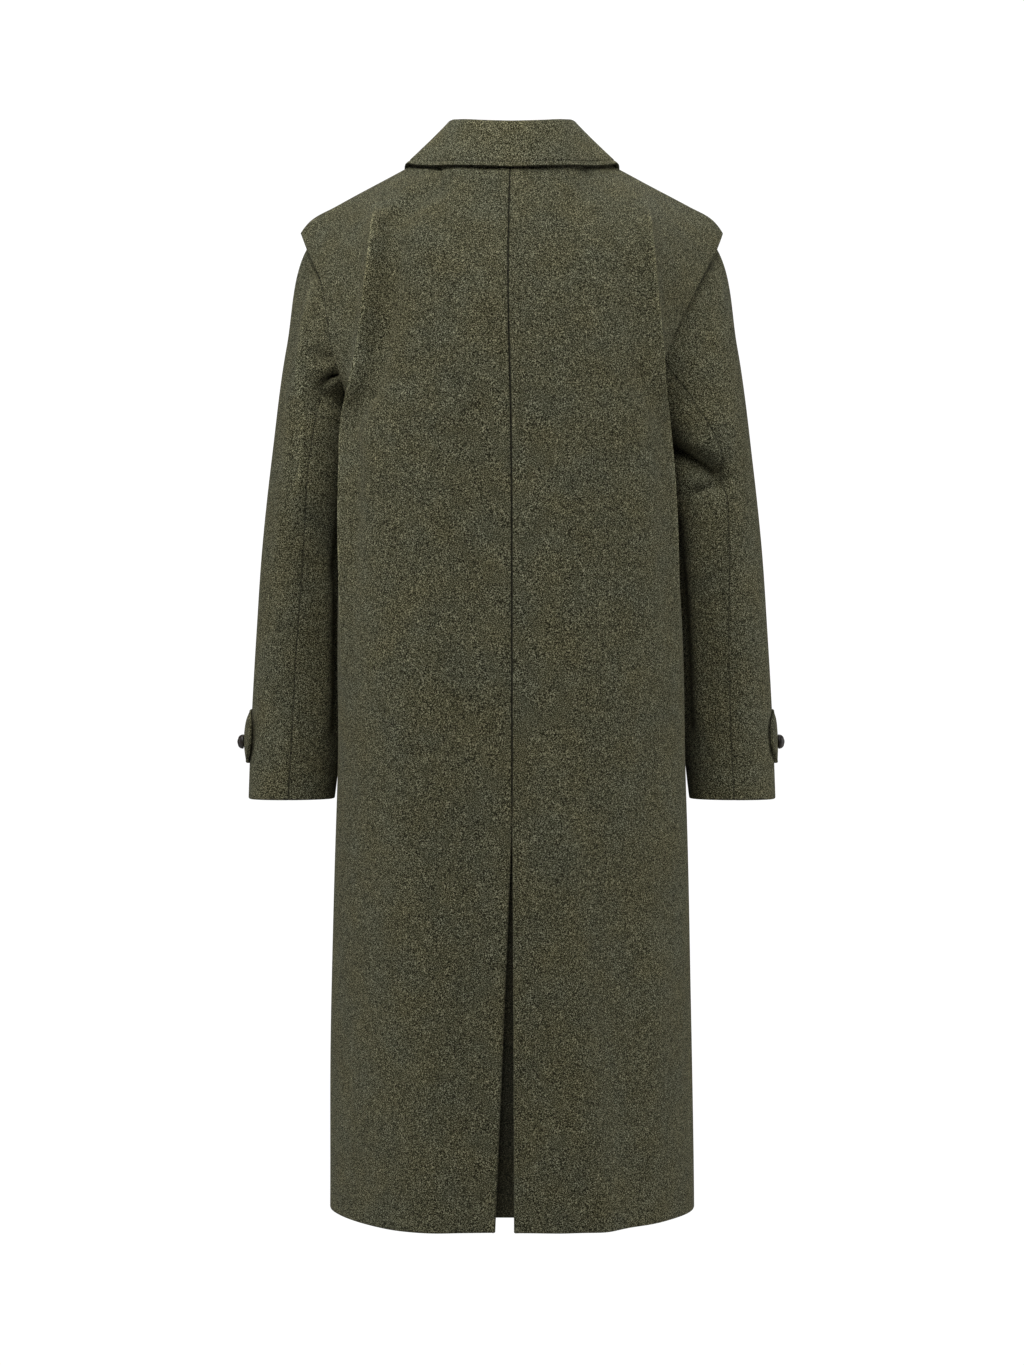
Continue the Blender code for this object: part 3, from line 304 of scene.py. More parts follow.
# Creases: half width, rise, and the places across and up that each runs through
BACK_CREASES = (
    (
        0.0022, -0.0007,
        ((0.0308, -0.226), (0.0298, -0.192), (0.0225, -0.179), (0.0120, -0.1715), (0.002, -0.170)),
    ),
    (0.0026, -0.0004, ((-0.002, -0.170), (-0.0152, -0.179), (-0.0434, -0.200))),
    (0.0065, -0.0014, ((-0.0640, -0.140), (-0.0650, -0.300), (-0.0670, -0.520))),
    (0.0045, 0.0008, ((-0.0515, -0.100), (-0.0520, -0.200))),
    (0.0012, -0.0006, ((-0.2057, -0.0894), (-0.1840, -0.1260), (-0.1611, -0.1645))),
    (
        0.0120, -0.0040,
        ((0.0830, -0.0350), (0.1270, -0.0810), (0.1310, -0.1310), (0.1340, -0.1810), (0.1440, -0.230)),
    ),
    (0.0080, 0.0025, ((0.0938, -0.0245), (0.1150, -0.0386), (0.1394, -0.0705))),
)
BUTTONHOLES = tuple(
    (0.0013, -0.0012, ((0.002, z), (0.0175, z)))
    for z in (FRONT_BUTTON_TOP_Z - FRONT_BUTTON_STEP * k for k in range(FRONT_BUTTON_COUNT))
)
# The sleeves' creases and drag folds run through places given as an angle round the sleeve and a height.
LEFT_SLEEVE_FOLD = (
    (44.0, -0.135), (50.0, -0.170), (54.0, -0.190), (60.0, -0.222),
    (77.0, -0.281), (81.0, -0.333), (77.0, -0.370),
)
RIGHT_SLEEVE_FOLD = ((20.0, -0.110), (34.0, -0.150))
SLEEVE_CREASES = {
    1: (
        (0.0160, -0.0050, ((100.0, -0.265), (128.0, -0.235))),
        (0.0120, 0.0030, ((58.0, -0.140), (62.0, -0.420))),
        (0.0240, -0.0050, ((110.0, -0.400), (140.0, -0.440))),
        (0.0070, -0.0050, ((78.0, -0.216), (98.0, -0.222))),
        (0.0090, -0.0260, ((108.0, -0.248), (128.0, -0.264))),
        (0.0050, 0.0016, LEFT_SLEEVE_FOLD),
        (0.0110, 0.0030, ((134.0, -0.440), (134.0, -0.615))),
        (0.0130, -0.0065, ((161.0, -0.360), (161.0, -0.615))),
    ),
    -1: (
        (0.0150, -0.0110, ((88.0, -0.343), (150.0, -0.305))),
        (0.0120, -0.0040, ((78.0, -0.352), (112.0, -0.366))),
        (0.0200, 0.0050, ((100.0, -0.305), (150.0, -0.265))),
        (0.0100, 0.0025, ((40.0, -0.120), (30.0, -0.180))),
        (0.0062, -0.0100, ((165.0, -0.314), (140.0, -0.320), (117.0, -0.330), (86.0, -0.340))),
        (0.0085, 0.0045, ((165.0, -0.293), (117.0, -0.311), (84.0, -0.322))),
        (0.0045, -0.0060, ((118.0, -0.225), (131.0, -0.255), (145.0, -0.290))),
        (0.0320, 0.0065, ((76.0, -0.290), (112.0, -0.284))),
        (0.0050, -0.0050, ((116.0, -0.363), (92.0, -0.357), (72.0, -0.351))),
        (0.0050, 0.0012, RIGHT_SLEEVE_FOLD),
        (0.0110, 0.0030, ((130.0, -0.440), (130.0, -0.615))),
        (0.0140, -0.0070, ((158.0, -0.400), (158.0, -0.615))),
    ),
}

# Sharp crests of the two ridges beside the arms
CREST_HALF_WIDTH = 0.0026
CREST_RISE = 0.0022

# Painted light in the cloth's colour: a painted highlight along crests and folds makes it lighter, and
# painted shade in seams and under free edges makes it darker. Full strength is 1, with the gain of each
# colour.
HIGHLIGHT_GAIN = (1.9, 1.9, 1.85)
CREST_HIGHLIGHT_HALF_WIDTH = 0.0014
CREST_HIGHLIGHT = {1: 1.0, -1: 0.7}
SLEEVE_HIGHLIGHT = {1: ((0.0034, 0.35, LEFT_SLEEVE_FOLD),), -1: ((0.0030, 0.25, RIGHT_SLEEVE_FOLD),)}
SHADE_GAIN = (0.16, 0.16, 0.15)
SHADE_HALF_WIDTH = 0.0009
SLEEVE_SEAM_SHADE = 0.60
CENTRE_SEAM_SHADE = 0.85
COLLAR_EDGE_SHADE = 0.70
# Depths between which painted shade runs along the back's free edge, over the sleeve
WING_EDGE_SHADE_DEPTHS = (0.090, 0.120, 0.250, 0.270)

# Seams lap by a hair, in a shallow groove; stitched edges have a finer one
SEAM_LAP = 0.00005
SEAM_GROOVE = 0.0007
SEAM_HALF_WIDTH = 0.0018
FRONT_STITCH_IN = 0.008
FRONT_GROOVE = 0.0005
FRONT_GROOVE_HALF_WIDTH = 0.0012
COLLAR_STITCH_IN = 0.0056
COLLAR_STITCH_ENDS = 4
COLLAR_GROOVE = 0.0009
COLLAR_GROOVE_HALF_WIDTH = 0.0011
TAB_STITCH_IN = 2
TAB_STITCH_END = 4
STITCH_STEP = 0.0042
STITCH_RADIUS = 0.00042
STITCH_SIDES = 6
# Rings of one stitch: share of the step, size and lift
STITCH_RINGS = ((0.14, 0.35, -0.6), (0.32, 1.0, 0.3), (0.68, 1.0, 0.3), (0.86, 0.35, -0.6))

# Buttons of plaited leather: shares of the radius and the height up to the rim, then a dome of straps
KNOT_SIDES = 64
KNOT_FOOT = ((0.02, 0.0), (0.40, 0.0), (0.40, 0.05), (0.80, 0.055), (0.93, 0.09), (0.99, 0.16), (1.0, 0.24))
KNOT_RIM = 0.24
KNOT_DOME_TURNS = (6, 88, 24)
KNOT_STRAPS = 1.45
KNOT_RELIEF = 0.08
KNOT_RELIEF_MEAN = 0.75
KNOT_RELIEF_RISES = (0.15, 0.45)
KNOT_RELIEF_SPREAD = 0.6
STRAP_MEAN = 0.62
STRAP_SWING = 0.38

# Yarns as linear red, green and blue: dark flecks, the main yarn, light flecks
LODEN_YARNS = ((0.003, 0.003, 0.001), (0.050, 0.049, 0.026), (0.440, 0.424, 0.270))
# The collar fall's yarns: the loden's, made lighter
COLLAR_YARNS = ((0.004, 0.004, 0.0015), (0.062, 0.061, 0.033), (0.500, 0.482, 0.310))
# Darker yarns for the pleat's inner layer and the collar stand: painted shade, as their cloth is the loden's
# own colour lying in shadow
SHADED_INSIDE_YARNS = ((0.006, 0.006, 0.003), (0.030, 0.030, 0.018), (0.120, 0.112, 0.070))
# Noise in the wool: scale, detail and roughness
FLECKS = (1080.0, 2.0, 0.60)
YARN = (150.0, 2.0, 0.60)
PATCHES = (26.0, 3.0, 0.60)
TINT = (22.0, 3.0, 0.55)
FLECK_STOPS = (0.395, 0.485, 0.53, 0.64)
YARN_GAINS = ((0.30, (0.89,) * 3), (0.70, (1.11,) * 3))
PATCH_GAINS = ((0.30, (0.94,) * 3), (0.70, (1.06,) * 3))
TINT_GAINS = ((0.34, (0.97, 1.0, 1.05)), (0.66, (1.03, 1.0, 0.93)))
NAP_STRENGTH, NAP_HEIGHT = 0.5, 0.0008
WOOL_FINISH = {
    "Roughness": 0.95,
    "Specular IOR Level": 0.15,
    "Sheen Weight": 0.06,
    "Sheen Roughness": 0.55,
    "Sheen Tint": (0.62, 0.60, 0.45, 1.0),
}
LEATHER_GRAIN, LEATHER_WEAR = (1400.0, 4.0, 0.6), (160.0, 2.0, 0.5)
LEATHER_COLOURS = ((0.35, (0.010, 0.007, 0.005)), (0.68, (0.034, 0.022, 0.014)))
LEATHER_ROUGHNESS = ((0.30, (0.30,) * 3), (0.70, (0.52,) * 3))
LEATHER_BUMP, LEATHER_BUMP_HEIGHT = 0.35, 0.0003
THREAD_TWIST = (1500.0, 2.0, 0.5)
THREAD_COLOURS = ((0.35, (0.030, 0.029, 0.017)), (0.65, (0.060, 0.058, 0.036)))
THREAD_ROUGHNESS = 0.70

# Stage
FLOOR_Z = -2.300
FLOOR_RADIUS = 3.4
FLOOR_SIDES = 96
FLOOR_COLOUR = (0.82, 0.82, 0.81, 1.0)
FLOOR_ROUGHNESS = 0.9
AMBIENT = 0.04
BACKDROP = 1.05
LIGHT_COLUMNS = ("name", "watts", "size", "x", "y", "z")
LIGHTS = (
    ("key", 110.0, 2.4, 1.2, 2.2, 3.2),
    ("back", 46.0, 2.4, 0.0, 3.4, 2.2),
    ("left_high", 3.0, 1.1, 1.6, 0.0, -0.3),
    ("left_low", 2.4, 1.1, 1.6, 0.0, -1.1),
    ("right_high", 7.0, 1.1, -1.6, 0.0, -0.3),
    ("right_low", 4.0, 1.1, -1.6, 0.0, -1.1),
    ("fill", 85.0, 3.2, -0.5, -3.2, 4.2),
)
LIGHTS_AIM = (0.0, 0.0, -0.6)
CAMERA_AWAY = 3.0
CAMERA_Z = -0.568
SENSOR = 36.0
VIEW_HEIGHT = 1.5015


def table(columns, rows):
    """The rows of a table as one array for each named column."""
    return dict(zip(columns, np.array(rows, float).T))


def arc_lengths(points):
    """Distance along a line of points, from its first one."""
    steps = np.linalg.norm(np.diff(points, axis=0), axis=1)
    return np.concatenate([[0.0], np.cumsum(steps)])


def smooth(knots, values, at):
    """A smooth curve through values at knots, read at other places. Values may hold points or rows."""
    knots = np.asarray(knots, float)
    values = np.asarray(values, float)
    at = np.clip(np.asarray(at, float), knots[0], knots[-1])
    spread = (-1,) + (1,) * (values.ndim - 1)
    gaps = np.diff(knots).reshape(spread)
    slopes = np.diff(values, axis=0) / gaps
    tangents = np.empty_like(values)
    tangents[1:-1] = (gaps[1:] * slopes[:-1] + gaps[:-1] * slopes[1:]) / (gaps[:-1] + gaps[1:])
    tangents[0] = 2 * slopes[0] - tangents[1] if len(knots) > 2 else slopes[0]
    tangents[-1] = 2 * slopes[-1] - tangents[-2] if len(knots) > 2 else slopes[-1]
    span = np.clip(np.searchsorted(knots, at, side="right") - 1, 0, len(knots) - 2)
    width = (knots[span + 1] - knots[span]).reshape(spread)
    t = (at - knots[span]).reshape(spread) / width
    return (
        (1 + 2 * t) * (1 - t) ** 2 * values[span]
        + t * (1 - t) ** 2 * width * tangents[span]
        + t * t * (3 - 2 * t) * values[span + 1]
        + t * t * (t - 1) * width * tangents[span + 1]
    )


def bell(away, half_width):
    """1 at no distance, falling softly to 0 on both sides."""
    return np.exp(-((away / half_width) ** 2))


def fade(values, start, end):
    """0 before start, 1 after end, with a soft change between them."""
    t = np.clip((values - start) / (end - start), 0.0, 1.0)
    return t * t * (3 - 2 * t)


def within(values, start, full, fades, end):
    """0 before start, 1 from full to fades, and 0 again after end."""
    return fade(values, start, full) * (1 - fade(values, fades, end))


def to_hem(z, start):
    """The share of the way down from a height to the hem."""
    return np.clip((start - z) / (start - HEM_Z), 0.0, 1.0)


def half_turn(angles):
    """Angles in degrees, brought between -180 and 180."""
    return (angles + 180.0) % 360.0 - 180.0


def between(at, knots, points):
    """Places on the straight lines through points at knots."""
    return np.stack([np.interp(at, knots, points[:, k]) for k in range(3)], axis=-1)


def moved(points, normal, rise):
    """Points moved along their normals."""
    return points + normal * rise[..., None]


def point(row, name):
    """A point from the x, y and z of a table's row."""
    return np.array([row[f"{name}_{axis}"] for axis in "xyz"])


def read_line(points, arcs):
    """Points at these distances along a line; a negative distance is mirrored across the centre plane."""
    found = between(np.abs(arcs), arc_lengths(points), points)
    found[:, 0] *= np.where(arcs < 0, -1.0, 1.0)
    return found


def shared_row(points, ridge_index, shares):
    """A row read at shares of its length, with the ridge at the same share on every row.

    A negative share is a distance past the centre line instead.
    """
    lengths = arc_lengths(points)
    arcs = np.interp(shares, [0.0, RIDGE_SHARE, 1.0], [0.0, lengths[ridge_index], lengths[-1]])
    arcs = np.where(shares < 0, shares, arcs)
    return read_line(points, arcs)


def past_ridge(ridge, end, steps):
    """Places from 0 past a row's ridge to its end, and the number of the one at the ridge."""
    inward = np.linspace(0, ridge, steps[0])
    return np.concatenate([inward, np.linspace(ridge, end, steps[1])[1:]]), len(inward) - 1


def section_line(z, half, depth, square, tuck):
    """A quarter of a body section, from the centre line to the side seam."""
    ridge_y = RIDGE_DEPTH_SHARE * depth
    ridge_x = half * (1 - RIDGE_DEPTH_SHARE**square) ** (1 / square)
    angles, turn = past_ridge(math.atan2(ridge_x, ridge_y), math.pi / 2, ROW_STEPS)
    across, along = np.sin(angles), np.cos(angles)
    reach = ((across / half) ** square + (np.abs(along) / depth) ** square) ** (-1 / square)
    x, y = reach * across, np.abs(reach * along)
    x = x - tuck * np.clip(1 - (y / (TUCK_DEPTH_SHARE * depth)) ** 2, 0.0, 1.0) ** 2
    return np.stack([x, y, np.full_like(angles, z)], axis=1), turn


def yoke_line(row):
    """One row above the underarm, through its centre, ridge and edge points."""
    centre = np.array([0.0, row["centre_y"], row["centre_z"]])
    ridge, edge = point(row, "ridge"), point(row, "edge")
    guide = [centre + (ridge - centre) * np.array([s, s ** row["square"], s**2]) for s in YOKE_INWARD]
    guide = np.array(guide + [ridge + (edge - ridge) * share for share in YOKE_SIDEWARD])
    knots = arc_lengths(guide)
    places, turn = past_ridge(knots[len(YOKE_INWARD)], knots[-1], ROW_STEPS)
    return smooth(knots, guide, places), turn


def neck_point(angle):
    """The neckline at an angle in degrees from the centre of the back, on the wearer's left."""
    turn = math.radians(angle)
    x = NECK_HALF * math.sin(turn)
    if angle <= 90:
        rise = math.sin(turn) ** 2
        return np.array([x, NECK_BACK_Y * math.cos(turn), NECK_BACK_Z + (NECK_SIDE_Z - NECK_BACK_Z) * rise])
    drop = math.sin(turn - math.pi / 2) ** NECK_DROP_POWER
    return np.array([x, NECK_FRONT_Y * math.cos(turn), NECK_SIDE_Z + (NECK_FRONT_Z - NECK_SIDE_Z) * drop])


def top_line(front):
    """The neckline from the centre to the shoulder, then the shoulder seam to its tip."""
    angles = np.linspace(180 if front else 0, 90, NECK_STEPS)
    neck = np.array([neck_point(angle) for angle in angles])
    neck[:, 1] = np.abs(neck[:, 1])
    seam = table(SHOULDER_COLUMNS, SHOULDER_LINE)
    shoulder = np.stack([seam["x"], 0 * seam["x"], seam["z"]], axis=1)
    knots = arc_lengths(shoulder)
    ridge_knot = float(np.interp(SHOULDER_RIDGE_X, seam["x"], knots))
    places, turn = past_ridge(ridge_knot, knots[-1], SHOULDER_STEPS)
    return np.concatenate([neck, smooth(knots, shoulder, places[1:])]), len(neck) + turn - 1


def neck_share(front):
    """The share of the top row at which the neckline meets the shoulder seam."""
    line, ridge_index = top_line(front)
    lengths = arc_lengths(line)
    corner = int(np.argmin(np.linalg.norm(line - neck_point(90.0), axis=1)))
    return RIDGE_SHARE * lengths[corner] / lengths[ridge_index]


def body_surface(side, front, shares, levels):
    """Outer points of a half of the front or back: one row for each level, one column for each share."""
    sections = table(SECTION_COLUMNS, SECTIONS)
    half = sections["half_left"] if side > 0 else sections["half_right"]
    depth = sections["front"] if front else sections["back"]
    square = sections["front_square"] if front else sections["back_square"]
    rows = []
    for values in zip(sections["z"], half, depth, square, sections["tuck"]):
        rows.append(shared_row(*section_line(*values), shares))
    yoke = YOKE_FRONT if front else (YOKE_BACK_LEFT if side > 0 else YOKE_BACK_RIGHT)
    for values in yoke:
        rows.append(shared_row(*yoke_line(dict(zip(YOKE_COLUMNS, values))), shares))
    rows.append(shared_row(*top_line(front), shares))
    heights = [*sections["z"], *(values[0] for values in yoke), TOP_LEVEL]
    points = smooth(heights, np.array(rows), levels)
    points[..., 1] *= -1 if front else 1
    points[..., 0] *= side
    return points


def normals_of(points):
    """Unit normals of a grid of points."""
    down = np.gradient(points, axis=0)
    across = np.gradient(points, axis=1)
    normal = np.cross(across, down)
    return normal / np.linalg.norm(normal, axis=2, keepdims=True)


def facing_out(points, normal, middle):
    """The normals, turned if need be to point away from a point within the garment."""
    away = np.sum(normal * (points - np.array(middle)), axis=2)
    return normal if away.sum() > 0 else -normal


def folded(points, normal, folds):
    """A panel's points moved along their normals by its long folds."""
    rise = np.zeros(points.shape[:2])
    x, z = points[..., 0], points[..., 2]
    for values in folds:
        fold = dict(zip(FOLD_COLUMNS, values))
        top, low = fold["top_z"], fold["low_z"]
        middle = fold["top_x"] + (fold["low_x"] - fold["top_x"]) * (z - top) / (low - top)
        strength = within(-z, -top, FOLD_FADE - top, -low - FOLD_FADE, -low)
        rise += fold["rise"] * strength * bell(x - middle, fold["half_width"])
    return moved(points, normal, rise)


def off_ridge(points, shares):
    """How far across each place is from the ridge beside the arm, and the ridge's strength in its row."""
    column = int(np.argmin(np.abs(shares - RIDGE_SHARE)))
    away = np.stack([arc_lengths(row) for row in points])
    depth = -points[:, column, 2]
    strength = within(depth, -RIDGE_TOP_Z, -RIDGE_FULL_Z, -RIDGE_FADES_Z, -RIDGE_END_Z)
    return away - away[:, column : column + 1], strength[:, None]


def ridged(points, normal, shares, side):
    """A back panel's points moved along their normals by the ridge beside the arm and its hollow."""
    away, strength = off_ridge(points, shares)
    rise = RIDGE_RISE[side] * bell(away, RIDGE_HALF_WIDTH)
    rise -= HOLLOW_DROP[side] * bell(away + HOLLOW_AWAY, HOLLOW_HALF_WIDTH)
    return moved(points, normal, rise * strength)


def crest(points, shares, half_width):
    """How near each place is to the sharp crest along the top of the ridge beside the arm, from 0 to 1."""
    away, strength = off_ridge(points, shares)
    return strength * np.exp(-np.abs(away) / half_width)


def line_rise(u, v, lines):
    """How far creases move each place. Each line has a half width, a rise and the places it runs through."""
    rise = np.zeros(np.broadcast(u, v).shape)
    for half_width, height, places in lines:
        nearest = np.full(rise.shape, np.inf)
        for (start_u, start_v), (end_u, end_v) in zip(places, places[1:]):
            run_u, run_v = end_u - start_u, end_v - start_v
            share = ((u - start_u) * run_u + (v - start_v) * run_v) / (run_u**2 + run_v**2)
            share = np.clip(share, 0.0, 1.0)
            nearest = np.minimum(nearest, np.hypot(u - start_u - share * run_u, v - start_v - share * run_v))
        rise += height * bell(nearest, half_width)
    return rise


def ripple(u, v):
    """The slight unevenness of hanging cloth."""
    rise = np.zeros(np.broadcast(u, v).shape)
    for length_u, length_v, phase, height in RIPPLES:
        rise += height * np.sin(2 * math.pi * (u / length_u + v / length_v) + phase)
    return rise


def link_mesh(name, points, faces, finish):
    """A smooth mesh object from points and faces, in the scene."""
    mesh = bpy.data.meshes.new(name)
    mesh.from_pydata(np.asarray(points, float).tolist(), [], faces)
    mesh.shade_smooth()
    mesh.materials.append(finish)
    made = bpy.data.objects.new(name, mesh)
    bpy.context.scene.collection.objects.link(made)
    return made


def closed_mesh(name, points, quads, finish):
    """A mesh object from points and faces of four corners, turned so that its faces look out."""
    volume = 0.0
    for corners in (points[quads[:, :3]], points[quads[:, [0, 2, 3]]]):
        volume += np.sum(corners[:, 0] * np.cross(corners[:, 1], corners[:, 2]))
    return link_mesh(name, points, (quads[:, ::-1] if volume < 0 else quads).tolist(), finish)


def border_of(rows, columns):
    """The places round the edge of a grid, in order."""
    border = [(0, j) for j in range(columns - 1)]
    border += [(i, columns - 1) for i in range(rows - 1)]
    border += [(rows - 1, j) for j in range(columns - 1, 0, -1)]
    border += [(i, 0) for i in range(rows - 1, 0, -1)]
    return np.array(border)


def edge_pull(outer, thick):
    """For each border point of a grid: the way out of the piece, as long as the edge's rounding."""
    pull = np.zeros_like(outer)
    for here, beside in ((0, 1), (-1, -2)):
        for by_row in (True, False):
            edge = (here, slice(None)) if by_row else (slice(None), here)
            near = (beside, slice(None)) if by_row else (slice(None), beside)
            way = outer[edge] - outer[near]
            far = np.maximum(np.linalg.norm(way, axis=1), TINY)
            size = np.minimum(thick[edge] / 2, EDGE_SHARE * far)
            pull[edge] += way * (size / far)[:, None]
    return pull


def shell(name, outer, inner, finish, painted_light=None):
    """A cloth piece as one closed mesh: a face, an inner side, and a rounded edge all round.

    A painted highlight makes the cloth lighter where the last argument is above 0, and painted shade makes it
    darker where that is below 0.
    """
    rows, columns = outer.shape[:2]
    across = outer - inner
    thick = np.linalg.norm(across, axis=2)
    border = border_of(rows, columns)
    i, j = border.T
    pull = edge_pull(outer, thick)
    middle = (outer + inner) / 2 - pull
    outer, inner = outer.copy(), inner.copy()
    outer[i, j] = (middle + across / 2)[i, j]
    inner[i, j] = (middle - across / 2)[i, j]
    points = [outer.reshape(-1, 3), inner.reshape(-1, 3)]
    for turn in np.radians(EDGE_TURNS):
        points.append((middle + math.sin(turn) * pull + math.cos(turn) * across / 2)[i, j])
    size, around = rows * columns, len(border)
    index = np.arange(size).reshape(rows, columns)
    quads = np.stack([index[:-1, :-1], index[:-1, 1:], index[1:, 1:], index[1:, :-1]], axis=-1).reshape(-1, 4)
    faces = [quads, quads[:, ::-1] + size]
    loops = [index[i, j]]
    loops += [2 * size + k * around + np.arange(around) for k in range(len(EDGE_TURNS))]
    loops.append(index[i, j] + size)
    for near, far in zip(loops, loops[1:]):
        faces.append(np.stack([near, far, np.roll(far, -1), np.roll(near, -1)], axis=1))
    made = closed_mesh(name, np.concatenate(points), np.concatenate(faces), finish)
    # The painted highlight and painted shade go to the material as a mesh attribute, on the face and the
    # rounded edge
    if painted_light is not None:
        painted = np.zeros(len(made.data.vertices))
        painted[:size] = painted_light.reshape(-1)
        painted[2 * size :] = np.tile(painted_light[i, j], len(EDGE_TURNS))
        made.data.attributes.new("painted_light", "FLOAT", "POINT").data.foreach_set("value", painted)
    return made


def fine_levels(below, above):
    """Levels of a body panel's rows, from the hem to the shoulder."""
    lower = np.linspace(HEM_Z, UNDERARM_Z, below + 1)
    upper = UNDERARM_Z + (TOP_LEVEL - UNDERARM_Z) * (1 - np.linspace(1, 0, above + 1)[1:] ** LEVEL_CROWDING)
    return np.concatenate([lower, upper])


def fine_shares(front, neck_steps, ridge_steps, side_steps):
    """Shares across a half panel, with one at the neck corner, and crowded to both sides of the ridge."""
    neck = neck_share(front)
    near = neck + (RIDGE_SHARE - neck) * (1 - np.linspace(1, 0, ridge_steps + 1)[1:] ** SHARE_CROWDING)
    past = RIDGE_SHARE + (1 - RIDGE_SHARE) * np.linspace(0, 1, side_steps + 1)[1:] ** SHARE_CROWDING
    return np.concatenate([np.linspace(0, neck, neck_steps + 1), near, past])


def hem_wall(z, edge_z, depth):
    """The cloth's thickness: more where a hem is turned up inside."""
    return CLOTH + HEM_EXTRA * (1 - fade(z, edge_z + depth - HEM_EDGE, edge_z + depth))


def seam_normals(normal, shares, levels, front):
    """Normals laid into the seam plane at the side and shoulder seams, so that walls don't cross there."""
    turned = normal.copy()
    turned[levels <= UNDERARM_Z + TINY, -1, 1] = 0.0
    turned[-1, shares >= neck_share(front) - TINY, 1] = 0.0
    return turned / np.linalg.norm(turned, axis=2, keepdims=True)


def part_at_seams(points, shares, levels, front):
    """Moves the side seam's and shoulder seam's points half a seam gap off the seam plane."""
    step = -SEAM_GAP / 2 if front else SEAM_GAP / 2
    points[levels <= UNDERARM_Z + TINY, -1, 1] += step
    points[-1, shares >= neck_share(front) - TINY, 1] += step
    return points


def pleat_depth(z):
    """How far behind the back the pleat's inner layer hangs."""
    deeper = PLEAT_DEPTH_HEM - PLEAT_DEPTH_TOP
    return PLEAT_DEPTH_TOP + deeper * to_hem(z, PLEAT_DEEPENS_Z) ** PLEAT_DEEPENS_POWER


def centre_x(z):
    """The centre-back seam's small wander across the back."""
    seam = table(CENTRE_SEAM_COLUMNS, CENTRE_SEAM)
    return smooth(seam["z"], seam["x"], z)


def armhole_half(side, front, share):
    """A line down the body at one share across it, from shoulder to underarm, with its normals."""
    levels = np.linspace(TOP_LEVEL, UNDERARM_Z, ARMHOLE_ROWS)
    shares = np.array([share - ARMHOLE_ASIDE, share])
    points = body_surface(side, front, shares, levels)
    normal = facing_out(points, normals_of(points), (side * ARM_MIDDLE_X, 0.0, ARM_MIDDLE_Z))
    return points[:, -1], normal[:, -1]


def rounded_at_tip(angles, ring):
    """Rounds an armhole ring where its back and front halves meet under the shoulder tip."""
    weight = bell(half_turn(angles[:, None] - angles[None, :-1]), TIP_ROUNDING)
    mean = weight @ ring[:-1] / weight.sum(axis=1, keepdims=True)
    return ring + bell(half_turn(angles), TIP_REACH)[:, None] * (mean - ring)


def armhole_loop(side, share, inset):
    """The armhole as a closed ring by angle: 0 at the shoulder tip, 90 at the back, 180 under the arm."""
    angles = np.linspace(0, 360, ARMHOLE_STEPS)
    halves, tips = [], []
    for front, at in ((False, angles), (True, 360 - angles)):
        points, normal = armhole_half(side, front, share)
        lengths = arc_lengths(points)
        inner = points - inset * normal
        halves.append(between(at, lengths / lengths[-1] * 180.0, inner))
        tips.append(inner[0])
    found = np.where(angles[:, None] <= 180, *halves)
    found[0] = found[-1] = (tips[0] + tips[1]) / 2
    return angles, rounded_at_tip(angles, found)


def sleeve_rings(side):
    """The rings that a sleeve is drawn through, from the cuff to under the shoulder, and its seams."""
    word = "left" if side > 0 else "right"
    mirror = np.array([side, 1.0, 1.0])
    angles, edge = armhole_loop(side, 1.0, 0.0)
    turn = np.radians(angles)[:, None]
    rings, seams = [], []
    for row in SLEEVE_RINGS:
        size = dict(zip(SLEEVE_COLUMNS, row))
        outer = np.array([side * size["outer_x"], size["middle_y"], size["outer_z"]])
        inner = np.array([side * size[f"inner_{word}"], size["middle_y"], size["inner_z"]])
        back = np.array([0.0, size["half_depth"], 0.0])
        rings.append((outer + inner) / 2 + np.cos(turn) * (outer - inner) / 2 + np.sin(turn) * back)
        seams.append((size[f"seam_{word}"], FRONT_SEAM))
    away = edge - edge.mean(axis=0)
    reach = np.linalg.norm(away, axis=1, keepdims=True)
    _, tucked = armhole_loop(side, 1.0, CLOTH + SLEEVE_EDGE_CLEARANCE)
    _, seat = armhole_loop(side, SLEEVE_TOP_SHARE, CLOTH + SLEEVE_TOP_CLEARANCE)
    free = fade(180.0 - np.abs(angles - 180.0), SLEEVE_FREE_FROM, SLEEVE_FREE_TO)[:, None]
    at_tip = bell(half_turn(angles), SLEEVE_TIP_ANGLE)[:, None]
    tucked = tucked + at_tip * np.array(SLEEVE_TIP_SHIFT) * mirror
    rings.append(tucked * (1 - free) + (edge - away / reach * SLEEVE_UNDERARM_DROP) * free)
    rings.append(seat * (1 - free) + (rings[-1] + np.array(SLEEVE_FREE_SHIFT) * mirror) * free)
    seams += [(ARMHOLE_SEAM, FRONT_SEAM)] * 2
    return angles, np.array(rings), np.array(seams)


def ring_knots(rings):
    """Distance of each ring along a sleeve, from the cuff."""
    steps = np.linalg.norm(np.diff(rings, axis=0), axis=2).mean(axis=1)
    return np.concatenate([[0.0], np.cumsum(steps)])


def sleeve_lines(around, z, lines):
    """How far lines on a sleeve move each place, with the angles as distances round it."""
    per_degree = math.radians(SLEEVE_MEAN_RADIUS)
    flat = [
        (half_width, height, [(angle * per_degree, level) for angle, level in places])
        for half_width, height, places in lines
    ]
    return line_rise(around * per_degree, z, flat)


